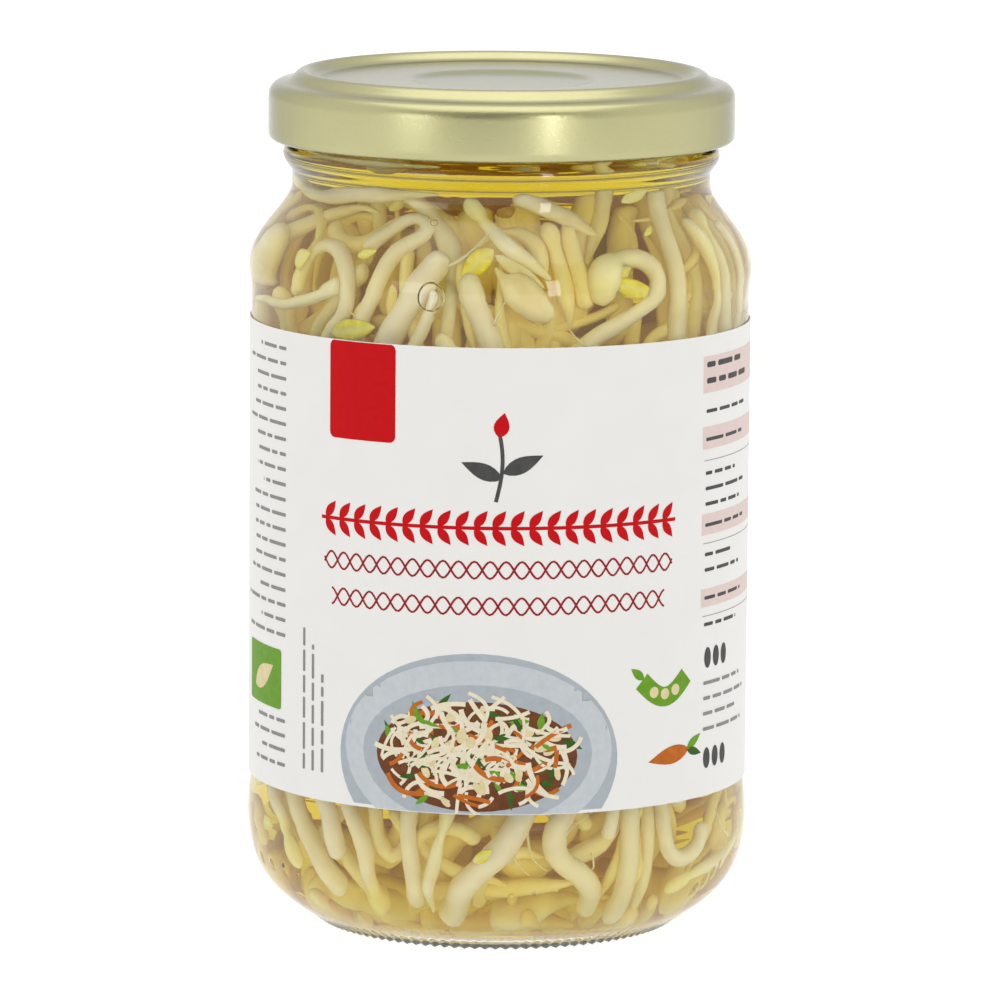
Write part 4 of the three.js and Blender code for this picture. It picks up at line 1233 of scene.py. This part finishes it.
def make_bits():
    """Loose first leaves, root ends and seed coats that lie between the sprouts and the glass."""
    rng = random.Random(21)
    leaves, roots, coats = Form(), Form(), Form()
    near, more_leaves = 1.7, 14
    for from_, to, width, thick, pale in LOOSE_LEAVES:
        ends = [place(*from_seen(*spot, near)) for spot in (from_, to)]
        leaflet(leaves, *ends, width, thick, 0.4, 0, pale)
    for _ in range(more_leaves):
        azimuth, z = rng.uniform(60, 300), rng.choice([rng.uniform(88, 104), rng.uniform(11, 20)])
        to = (azimuth + rng.uniform(-7, 7), z + rng.uniform(-2.5, 2.5))
        leaflet(leaves, place(azimuth, z, near), place(*to, near), rng.uniform(1.2, 2.6), 0.6, 0.4, 0,
                rng.random() * 0.5)
    lines = list(LOOSE_ROOTS)
    for _ in range(bpy.context.scene.sprouts.hair_count):
        azimuth, z = rng.uniform(0, 360), rng.choice([rng.uniform(86, 106), rng.uniform(11, 24)])
        lines.append(((azimuth, z), (azimuth + rng.uniform(-16, 16), z + rng.uniform(-9, 9)),
                      rng.uniform(0.16, 0.34)))
    for from_, to, radius in lines:
        a, b = np.array(from_, float), np.array(to, float)
        sway = np.array([b[1] - a[1], a[0] - b[0]]) * rng.uniform(-0.25, 0.25)
        spots = [place(*np.clip(a + (b - a) * t + sway * math.sin(math.pi * t), (-720, 9), (720, 108)),
                       near + rng.uniform(0, 1.5)) for t in np.linspace(0, 1, 5)]
        grow(roots, Sprout(spots, radius, root=8), 0.8, 7, rng)
    degrees_in_mm = 1.9
    for azimuth, z, reach, tilt in SEED_COATS:
        angle = math.radians(tilt)
        ends = [place(azimuth + way * reach * degrees_in_mm * math.cos(angle),
                      z + way * reach * math.sin(angle), near) for way in (-1, 1)]
        leaflet(coats, *ends, reach * 1.3, 0.5, 0.9)
    for name, form, maker in (("first_leaves", leaves, leaflet_material),
                              ("root_ends", roots, sprout_material), ("seed_coats", coats, husk_material)):
        made = form.build(name, [shared(maker)], with_tones=True)
        welded(made, 2e-6)


# ---------------------------------------------------------------- lid
LID_OUTSIDE = [
    (LID_R, LID_TOP - 8.4), (LID_R, LID_TOP - 2.9), (LID_R - 0.9, LID_TOP - 1.8),
    (LID_R - 3.0, LID_TOP - 1.4), (28.8, LID_TOP), (27.6, LID_TOP), (26.3, LID_TOP - 1.25),
    (13.3, LID_TOP - 1.25), (11.3, LID_TOP - 1.8), (0, LID_TOP - 1.8),
]
SHEET = 0.4
# A lug: its half angle, how far past a thread's start it stands, its height, thickness, reach and depth in
# from the skirt.
LUG_HALF, LUG_PAST, LUG_Z, LUG_THICK, LUG_REACH, LUG_IN = 5.5, 8, 113.55, 0.55, 2.3, 1.9


def make_lid():
    """The pressed sheet: a curled edge, a skirt, a raised ring, a sunken panel, and a lug for each thread."""
    curl_z = LID_TOP - 9.8 + CURL_R
    turn = np.linspace(math.pi / 2, 2 * math.pi, 15)[:-1]
    curl = np.column_stack([LID_R - CURL_R + CURL_R * np.cos(turn), curl_z + CURL_R * np.sin(turn)])
    face = rounded(LID_OUTSIDE, 0.9, 7)
    outline = np.vstack([curl, face, offset(face, SHEET)[::-1], curl[:1]])
    form = Form()
    turned(form, outline, bpy.context.scene.sprout_jar.turned_sides)
    lid = welded(form.build("lid_pressed", [shared(lid_material)], LID), 1e-6)
    r, rings = LID_R - LUG_IN, 13
    ease = np.sin(np.linspace(0.25, math.pi - 0.25, rings)) ** 0.4
    for start in range(THREAD["starts"]):
        middle = THREAD["first"] + LUG_PAST + start * 360 / THREAD["starts"]
        angle = np.radians(np.linspace(-LUG_HALF, LUG_HALF, rings) + middle)
        lug = Form()
        tube(lug, np.column_stack([r * np.sin(angle), -r * np.cos(angle), np.full(rings, LUG_Z)]),
             ease * LUG_THICK, 10)
        flat = lug.points[0][:, :2]
        away = np.linalg.norm(flat, axis=1)
        lug.points[0][:, :2] = flat * ((r + (away - r) * LUG_REACH) / away)[:, None]
        lid = joined(lid, lug.build(f"lug_{start}", [shared(lid_material)], body=None))
    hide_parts("lid_cap")


def make_seal():
    """The sealing compound: it fills the channel over the glass's rim."""
    channel = offset(LID_OUTSIDE, SHEET + FIT)[3:7]
    bottom, middle = RIM_Z + 0.3, 28.6
    outline = rounded([(middle, bottom), (channel[0][0] - 0.1, bottom), *channel,
                       (channel[-1][0] + 0.1, bottom), (middle, bottom)], 0.25, 3)
    outline[-1] = outline[0]
    form = Form()
    turned(form, outline, bpy.context.scene.sprout_jar.turned_sides // 2)
    seal = form.build("sealing_ring_flowed", [shared(seal_material)], LID)
    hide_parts("sealing_ring")


# ---------------------------------------------------------------- label
def on_label(u, z, lift):
    """A place on the label from its distance round the jar from the front, in mm."""
    angle = u / LABEL_R
    r = LABEL_R + bpy.context.scene.jar_label.paper_thickness / MM + lift
    return np.array([r * math.sin(angle), -r * math.cos(angle), z])


def make_label():
    """The paper: a band with thickness, open at the back, with a sharp edge all round."""
    thickness = bpy.context.scene.jar_label.paper_thickness / MM
    open_half = math.asin(LABEL_GAP / 2 / LABEL_R)
    angles = np.linspace(-math.pi + open_half, math.pi - open_half, 321)
    bottom, top = LABEL_Z
    heights = np.linspace(bottom, top, 14)
    form = Form()
    points = []
    for r in (LABEL_R, LABEL_R + thickness):
        for z in heights:
            points.extend((r * math.sin(a), -r * math.cos(a), z) for a in angles)
    wide, tall = len(angles), len(heights)
    back = wide * tall
    faces = []
    for i in range(tall - 1):
        for k in range(wide - 1):
            q = i * wide + k
            faces.append((q, q + wide, q + wide + 1, q + 1))
            faces.append((back + q, back + q + 1, back + q + wide + 1, back + q + wide))
    top_row = (tall - 1) * wide
    for k in range(wide - 1):
        faces.append((k, k + 1, back + k + 1, back + k))
        faces.append((top_row + k, back + top_row + k, back + top_row + k + 1, top_row + k + 1))
    for i in range(tall - 1):
        q = i * wide
        faces.append((q, back + q, back + q + wide, q + wide))
        q = i * wide + wide - 1
        faces.append((q, q + wide, back + q + wide, back + q))
    form.add(points, faces)
    label = form.build("wrap_label_paper", [shared(paper_material)])
    edge = label.modifiers.new("crisp edges", "EDGE_SPLIT")
    edge.split_angle = math.radians(40)
    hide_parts("wrap_label")


# Inks: (the film's lighter colour, its darker one).
INKS = {
    "red": ("BE0C14", "B80A10"),
    "deep_red": ("94222A", "8C1C24"),
    "grey": ("50504E", "444442"),
    "rose": ("D8C6C0", "D4C0BA"),
    "leaf_green": ("6A9A2C", "608E26"),
    "dish": ("BEC3C6", "B6BBBF"),
    "dish_shade": ("A8AFB4", "9EA6AB"),
    "carrot": ("BC6A28", "AC5A1C"),
    "herb": ("3A6424", "30541C"),
    "cream": ("D8CCA4", "CCBC8A"),
    "noodle": ("E0D8C0", "D6CCB0"),
    "bark": ("70442A", "603820"),
    "small_print": ("8A8A88", "80807E"),
}
# How much higher each patch of ink lies than the one before it.
LAYER_LIFT = 0.0003


class Print:
    """The inks on the label. Each patch lies a little above the one before it in the same zone."""

    def __init__(self):
        self.forms = {name: Form() for name in INKS}
        self.layer = 0

    def new_zone(self):
        self.layer = 0

    def patch(self, ink, outline):
        """Fills an outline of (distance round the jar, height) points, cut so that it follows the curve."""
        settings = bpy.context.scene.jar_label
        lift = settings.ink_lift / MM + self.layer * LAYER_LIFT
        self.layer += 1
        work = bmesh.new()
        corners = [work.verts.new((u, z, 0)) for u, z in outline]
        for triangle in tessellate_polygon([[Vector((u, z, 0)) for u, z in outline]]):
            work.faces.new([corners[i] for i in triangle])
        for edge, down in ((LABEL_Z[0] + 0.1, -1), (LABEL_Z[1] - 0.1, 1)):
            geometry = work.verts[:] + work.edges[:] + work.faces[:]
            bmesh.ops.bisect_plane(work, geom=geometry, plane_co=(0, edge, 0), plane_no=(0, down, 0),
                                   clear_outer=True)
        low, high = min(u for u, _ in outline), max(u for u, _ in outline)
        step = 1.2
        cut = math.ceil(low / step) * step
        while cut < high:
            geometry = work.verts[:] + work.edges[:] + work.faces[:]
            bmesh.ops.bisect_plane(work, geom=geometry, plane_co=(cut, 0, 0), plane_no=(1, 0, 0))
            cut += step
        solid = bmesh.ops.extrude_face_region(work, geom=work.faces[:])
        for item in solid["geom"]:
            if isinstance(item, bmesh.types.BMVert):
                item.co.z = settings.ink_thickness / MM
        bmesh.ops.recalc_face_normals(work, faces=work.faces)
        work.verts.index_update()
        points = [on_label(v.co.x, v.co.y, lift + v.co.z) for v in work.verts]
        faces = [[v.index for v in face.verts] for face in work.faces]
        self.forms[ink].add(points, faces)
        work.free()

    def bar(self, ink, u, z, width, height, corner=0.0):
        """A rectangle from its left edge and middle height, with rounded corners."""
        low, high = z - height / 2, z + height / 2
        if corner <= 0:
            self.patch(ink, [(u, low), (u + width, low), (u + width, high), (u, high)])
            return
        outline = []
        left, right, foot, head = u + corner, u + width - corner, low + corner, high - corner
        for k, (cu, cz) in enumerate(((right, foot), (right, head), (left, head), (left, foot))):
            for angle in np.radians(np.linspace(k * 90 - 90, k * 90, 6)):
                outline.append((cu + corner * math.cos(angle), cz + corner * math.sin(angle)))
        self.patch(ink, outline)

    def oval(self, ink, u, z, a, b, tilt=0.0, start=0, end=360, points=28):
        """An ellipse, or the part of one between two angles."""
        outline = []
        full = end - start >= 360
        for angle in np.radians(np.linspace(start, end, points, endpoint=not full)):
            x, y = a * math.cos(angle), b * math.sin(angle)
            c, s = math.cos(math.radians(tilt)), math.sin(math.radians(tilt))
            outline.append((u + x * c - y * s, z + x * s + y * c))
        self.patch(ink, outline)

    def leaf(self, ink, u, z, length, width, tilt):
        """A pointed leaf from its foot."""
        t = np.linspace(0, 1, 9)
        half = width / 2 * np.sin(math.pi * t ** 0.8)
        edge = list(zip(length * t, half)) + list(zip(length * t, -half))[::-1][1:-1]
        c, s = math.cos(math.radians(tilt)), math.sin(math.radians(tilt))
        self.patch(ink, [(u + x * c - y * s, z + x * s + y * c) for x, y in edge])

    def stroke(self, ink, line, width):
        """A line of even width through points."""
        line = np.array(line, float)
        tangent = np.gradient(line, axis=0)
        tangent /= np.linalg.norm(tangent, axis=1)[:, None]
        side = np.column_stack([-tangent[:, 1], tangent[:, 0]]) * width / 2
        self.patch(ink, [tuple(p) for p in np.vstack([line + side, (line - side)[::-1]])])

    def build(self):
        for name, form in self.forms.items():
            if form.count:
                made = form.build(f"print_{name}", [shared(ink_material, name, *INKS[name])], smooth=False)


def print_lines(art, rng, ink, u, z, widths, pitch, height):
    """Rows of short dashes of uneven length, as blank lines. A negative width runs to the left."""
    for row, width in enumerate(widths):
        reach, way = abs(width), math.copysign(1, width)
        done = 0
        while done < reach:
            dash = min(rng.uniform(1.4, 5.0), reach - done)
            start = u + way * done
            art.bar(ink, min(start, start + way * dash), z - row * pitch, dash, height, height * 0.4)
            done += dash + 0.7


def print_bowl(art, rng):
    """A round bowl of cut vegetables and noodles, seen from a low angle."""
    u0, z0 = -3.0, 21.6
    art.oval("dish_shade", u0, z0 + 7.4, 20.5, 15.2, start=-28, end=208, points=40)
    art.oval("dish", u0, z0 + 8.6, 19.6, 13.0, points=44)
    art.oval("dish_shade", u0, z0 + 8.2, 16.6, 10.0, points=40)
    art.oval("bark", u0, z0 + 8.0, 14.4, 7.8, points=40)
    kinds = (("noodle", 0.48), ("carrot", 0.14), ("herb", 0.12), ("leaf_green", 0.08), ("cream", 0.18))
    names, shares = [kind[0] for kind in kinds], [kind[1] for kind in kinds]
    for _ in range(230):
        angle, reach = rng.uniform(0, 2 * math.pi), rng.random() ** 0.6
        u = u0 + 13.6 * reach * math.cos(angle)
        z = z0 + 8.4 + 7.4 * reach * math.sin(angle)
        kind, tilt = rng.choices(names, shares)[0], rng.uniform(0, 2 * math.pi)
        if kind in ("noodle", "carrot"):
            length, bow = rng.uniform(2.5, 6.5), rng.uniform(-0.3, 0.3)
            t = np.linspace(-0.5, 0.5, 9)
            x, y = length * t, length * bow * (1 - 4 * t ** 2)
            line = np.column_stack([u + x * math.cos(tilt) - y * math.sin(tilt),
                                    z + (x * math.sin(tilt) + y * math.cos(tilt)) * 0.8])
            art.stroke(kind, line, rng.uniform(0.4, 0.75))
        elif kind == "cream":
            art.oval(kind, u, z, rng.uniform(0.7, 1.2), rng.uniform(0.4, 0.7), math.degrees(tilt),
                     points=14)
        else:
            art.leaf(kind, u, z, rng.uniform(1.6, 3.4), rng.uniform(0.5, 1.1), math.degrees(tilt))


def print_leaf_row(art, z, reach):
    """A row of small paired leaves on a stem, as a plain ornament."""
    art.bar("red", -reach, z, 2 * reach, 0.5)
    count = 21
    for k in range(count):
        u = -reach + 1.6 + k * (2 * reach - 3.2) / (count - 1)
        art.leaf("red", u - 0.8, z + 0.1, 3.0, 1.35, 52)
        art.leaf("red", u - 0.8, z - 0.1, 3.0, 1.35, -52)


def print_braid(art, z, reach, rise, pitch):
    """Two thin waved lines that cross each other."""
    u = np.linspace(-reach, reach, round(2 * reach / pitch) * 12 + 1)
    for way in (1, -1):
        line = np.column_stack([u, z + way * rise * np.sin(2 * math.pi * u / pitch)])
        art.stroke("deep_red", line, 0.3)


def print_seedling(art, u, z):
    """A seedling: a bent stem with two leaves and a bud."""
    t = np.linspace(0, 1, 14)
    art.stroke("grey", np.column_stack([u + 0.9 * np.sin(2.6 * t), z + 9.5 * t]), 0.55)
    art.leaf("grey", u + 0.9, z + 4.0, 6.2, 2.3, 24)
    art.leaf("grey", u + 0.9, z + 3.2, 6.2, 2.3, 158)
    art.leaf("red", u + 0.4, z + 9.0, 3.6, 2.2, 78)


def print_pod(art, u, z):
    """An open pea pod with three peas."""
    t = np.linspace(0, 1, 15)
    art.stroke("leaf_green", np.column_stack([u + 8.4 * t, z + 2.6 - 2.6 * np.sin(math.pi * t)]), 2.8)
    for k in range(3):
        art.oval("cream", u + 2.2 + 2.0 * k, z + 0.8 - (0.4 if k == 1 else 0), 0.8, 0.8, points=18)
    art.leaf("leaf_green", u + 0.4, z + 2.8, 2.8, 1.3, 142)


def print_carrot(art, u, z):
    """A carrot with two leaves."""
    art.leaf("carrot", u, z, 8.0, 2.6, 188)
    art.leaf("leaf_green", u - 0.5, z, 3.6, 1.3, 30)
    art.leaf("herb", u - 0.5, z - 0.1, 3.4, 1.2, -16)


def print_right_column(art, rng):
    """Tinted bands, thin rules, rows of dashes and two sets of three dots."""
    edge = 33.8
    for z, height in ((81.6, 5.2), (72.6, 3.2), (60.3, 3.0), (49.8, 2.6)):
        art.bar("rose", 33.0, z, 30.0, height)
    for z in (69.4, 57.6, 47.2):
        art.bar("small_print", 33.4, z, 29.0, 0.1)
    for z, widths, pitch, height in (
            (83.0, (11, 14), 2.3, 0.8), (76.4, (13,), 2.3, 0.5), (72.4, (12,), 2.3, 0.5),
            (67.6, (9, 13, 11), 2.2, 0.5), (60.2, (13,), 2.3, 0.5), (56.0, (8, 11), 2.2, 0.5),
            (49.8, (12,), 2.3, 0.5), (46.0, (10,), 2.3, 0.5)):
        print_lines(art, rng, "grey", edge, z, widths, pitch, height)
    for z in (41.2, 26.8):
        for k in range(3):
            art.oval("grey", 34.8 + 2.3 * k, z, 0.85, 1.5, points=18)
    print_lines(art, rng, "small_print", edge, 37.6, (12, 14, 10, 13), 2.2, 0.5)


def print_left_column(art, rng):
    """Rows of dashes that end at the column's edge, a green block with a leaf, and upright rows."""
    edge = -35.4
    print_lines(art, rng, "small_print", edge, 84.6, [-rng.uniform(7, 15) for _ in range(20)], 2.15, 0.5)
    art.bar("leaf_green", -48.9, 37.2, 12.4, 8.6, 0.6)
    art.leaf("cream", -46.0, 35.2, 8.0, 3.2, 28)
    print_lines(art, rng, "small_print", edge, 31.4, (-9, -11, -7.5, -10), 2.1, 0.5)
    for row, height in enumerate((20.2, 18.0, 14.0)):
        reach = 0
        while reach < height:
            dash = min(rng.uniform(1.2, 4.0), height - reach)
            art.bar("small_print", -31.0 + row * 1.9, 25.4 + reach + dash / 2, 0.45, dash, 0.15)
            reach += dash + 0.6


def make_print():
    """A plain design in the usual colours of such a label: no words, names or marks."""
    art = Print()
    rng = random.Random(3)
    art.bar("red", -25.7, 80.2, 10.9, 13.8, 0.9)
    for draw, *values in ((print_seedling, -0.4, 65.6), (print_leaf_row, 61.9, 27.2),
                          (print_braid, 56.0, 26.6, 1.2, 4.4), (print_braid, 50.9, 25.2, 1.2, 4.4),
                          (print_bowl, rng), (print_pod, 21.4, 36.8), (print_carrot, 30.6, 28.8)):
        art.new_zone()
        draw(art, *values)
    art.new_zone()
    print_right_column(art, rng)
    art.new_zone()
    print_left_column(art, rng)
    art.build()


# ---------------------------------------------------------------- stage
def aim(thing, place_, target):
    """Puts a lamp or camera at a place, pointed at a target."""
    thing.location = place_
    thing.rotation_mode = "QUATERNION"
    thing.rotation_quaternion = (Vector(target) - Vector(place_)).to_track_quat("-Z", "Y")


def soft_light(name, azimuth, elevation, distance, size, radiance):
    """A soft rectangular lamp, given by its direction from the jar and how bright its face is."""
    target = Vector((0, 0, 0.065))
    lamp = bpy.data.lights.new(name, "AREA")
    lamp.shape, lamp.size, lamp.size_y = "RECTANGLE", size[0], size[1]
    lamp.energy = radiance * math.pi * size[0] * size[1]
    made = bpy.data.objects.new(name, lamp)
    bpy.context.scene.collection.objects.link(made)
    a, e = math.radians(azimuth), math.radians(elevation)
    back = Vector((math.sin(a) * math.cos(e), -math.cos(a) * math.cos(e), math.sin(e)))
    aim(made, target + back * distance, target)
    made.visible_camera = False


def make_world():
    """A white tent: bright overhead and at the sides, dimmer low down on the side that the jar is looked at
    from, where its opening is."""
    scene = bpy.context.scene
    scene.view_settings.view_transform = "Standard"
    scene.cycles.transparent_max_bounces = 10
    level = scene.jar_stage.sky_level
    world = bpy.data.worlds.new("white_tent")
    scene.world = world
    world.use_nodes = True
    world.node_tree.nodes.clear()
    direction = node(world, "ShaderNodeTexCoord").outputs["Generated"]
    opening = node(world, "ShaderNodeVectorMath", {0: direction}, operation="DOT_PRODUCT")
    opening.inputs[1].default_value = (0, -0.97, 0.24)
    share_left = 0.35
    dim = node(world, "ShaderNodeMapRange", {"Value": opening.outputs["Value"]},
               interpolation_type="SMOOTHSTEP",
               **{"From Min": 0.45, "From Max": 0.98, "To Min": level, "To Max": level * share_left})
    sky = node(world, "ShaderNodeBackground", {"Strength": dim}, Color=(1, 1, 1, 1))
    node(world, "ShaderNodeOutputWorld", {"Surface": sky})


def make_camera():
    stage = bpy.context.scene.jar_stage
    data = bpy.data.cameras.new("view")
    data.lens, data.sensor_width, data.clip_start, data.clip_end = stage.lens, 36, 0.05, 20
    camera = bpy.data.objects.new("view", data)
    bpy.context.scene.collection.objects.link(camera)
    bpy.context.scene.camera = camera
    elevation = stage.camera_elevation
    back = Vector((0, -math.cos(elevation), math.sin(elevation)))
    axis_point = Vector((0, 0, 60.48 * MM))
    aside = Vector((0.18 * MM, 0, -0.15 * MM))
    aim(camera, axis_point + back * stage.camera_distance, axis_point + aside)
    roll = Vector((0, 0, 1))
    camera.rotation_quaternion = camera.rotation_quaternion @ Quaternion(roll, stage.camera_roll)


def make_floor():
    form = Form()
    reach = 4000
    corners = [(-reach, -reach, 0), (reach, -reach, 0), (reach, reach, 0), (-reach, reach, 0)]
    form.add(corners, [(0, 1, 2, 3)])
    floor = form.build("floor", [shared(floor_material)], body=None, smooth=False)


def make_lights():
    """A large soft lamp on the left, a narrow bright one on the right, and a broad one overhead."""
    soft_light("left_softbox", -42, 9, 0.9, (0.26, 0.34), 1.9)
    soft_light("right_strip", 24, 12, 0.9, (0.09, 0.5), 6.5)
    soft_light("overhead", 0, 86, 0.8, (0.9, 0.9), 0.9)


# ---------------------------------------------------------------- operators and panel
class SPROUTJAR_OT_glass(bpy.types.Operator):
    """Build the moulded glass jar"""
    bl_idname = "sprout_jar.glass"
    bl_label = "Glass"

    def execute(self, context):
        make_glass()
        return {"FINISHED"}


class SPROUTJAR_OT_brine(bpy.types.Operator):
    """Fill the jar with brine and its bubbles"""
    bl_idname = "sprout_jar.brine"
    bl_label = "Brine"

    def execute(self, context):
        make_brine()
        return {"FINISHED"}


class SPROUTJAR_OT_placed(bpy.types.Operator):
    """Grow the sprouts that lie free against the glass"""
    bl_idname = "sprout_jar.placed"
    bl_label = "Sprouts at the Glass"

    def execute(self, context):
        make_placed()
        return {"FINISHED"}


class SPROUTJAR_OT_tangle(bpy.types.Operator):
    """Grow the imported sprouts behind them, and those that fill the jar"""
    bl_idname = "sprout_jar.tangle"
    bl_label = "Packed Sprouts"

    def execute(self, context):
        make_tangle()
        make_fill()
        return {"FINISHED"}


class SPROUTJAR_OT_bits(bpy.types.Operator):
    """Lay loose leaves, root ends and seed coats between the sprouts"""
    bl_idname = "sprout_jar.bits"
    bl_label = "Loose Bits"

    def execute(self, context):
        make_bits()
        return {"FINISHED"}


class SPROUTJAR_OT_lid(bpy.types.Operator):
    """Press the lid and flow its sealing compound"""
    bl_idname = "sprout_jar.lid"
    bl_label = "Lid and Seal"

    def execute(self, context):
        make_lid()
        make_seal()
        return {"FINISHED"}


class SPROUTJAR_OT_label(bpy.types.Operator):
    """Wrap the paper label and print it"""
    bl_idname = "sprout_jar.label"
    bl_label = "Label and Print"

    def execute(self, context):
        make_label()
        make_print()
        return {"FINISHED"}


class SPROUTJAR_OT_stage(bpy.types.Operator):
    """Set the floor, the white tent, the lamps and the camera"""
    bl_idname = "sprout_jar.stage"
    bl_label = "Stage"

    def execute(self, context):
        make_floor()
        make_world()
        make_lights()
        make_camera()
        return {"FINISHED"}


OPERATORS = [
    SPROUTJAR_OT_glass, SPROUTJAR_OT_brine, SPROUTJAR_OT_placed, SPROUTJAR_OT_tangle, SPROUTJAR_OT_bits,
    SPROUTJAR_OT_lid, SPROUTJAR_OT_label, SPROUTJAR_OT_stage,
]


class SPROUTJAR_PT_panel(bpy.types.Panel):
    """Lists the pieces of the jar and their settings"""
    bl_idname = "SPROUTJAR_PT_panel"
    bl_label = "Jar of Bean Sprouts"
    bl_space_type = "VIEW_3D"
    bl_region_type = "UI"
    bl_category = "Sprout Jar"

    def draw(self, context):
        for settings in SETTINGS:
            group = getattr(context.scene, settings)
            box = self.layout.box()
            for name in group.bl_rna.properties.keys():
                if name not in ("rna_type", "name"):
                    box.prop(group, name)
        for one in OPERATORS:
            self.layout.operator(one.bl_idname)


SETTINGS = {
    "sprout_jar": JarSettings,
    "sprouts": SproutSettings,
    "jar_label": LabelSettings,
    "jar_stage": StageSettings,
}


def register():
    for group in SETTINGS.values():
        bpy.utils.register_class(group)
    for name, group in SETTINGS.items():
        setattr(bpy.types.Scene, name, bpy.props.PointerProperty(type=group))
    for one in (*OPERATORS, SPROUTJAR_PT_panel):
        bpy.utils.register_class(one)


def unregister():
    for one in (SPROUTJAR_PT_panel, *reversed(OPERATORS)):
        bpy.utils.unregister_class(one)
    for name, group in SETTINGS.items():
        delattr(bpy.types.Scene, name)
        bpy.utils.unregister_class(group)


def main():
    register()
    bpy.ops.sprout_jar.glass()
    bpy.ops.sprout_jar.brine()
    bpy.ops.sprout_jar.placed()
    bpy.ops.sprout_jar.tangle()
    bpy.ops.sprout_jar.bits()
    bpy.ops.sprout_jar.lid()
    bpy.ops.sprout_jar.label()
    bpy.ops.sprout_jar.stage()


if __name__ == "__main__":
    main()
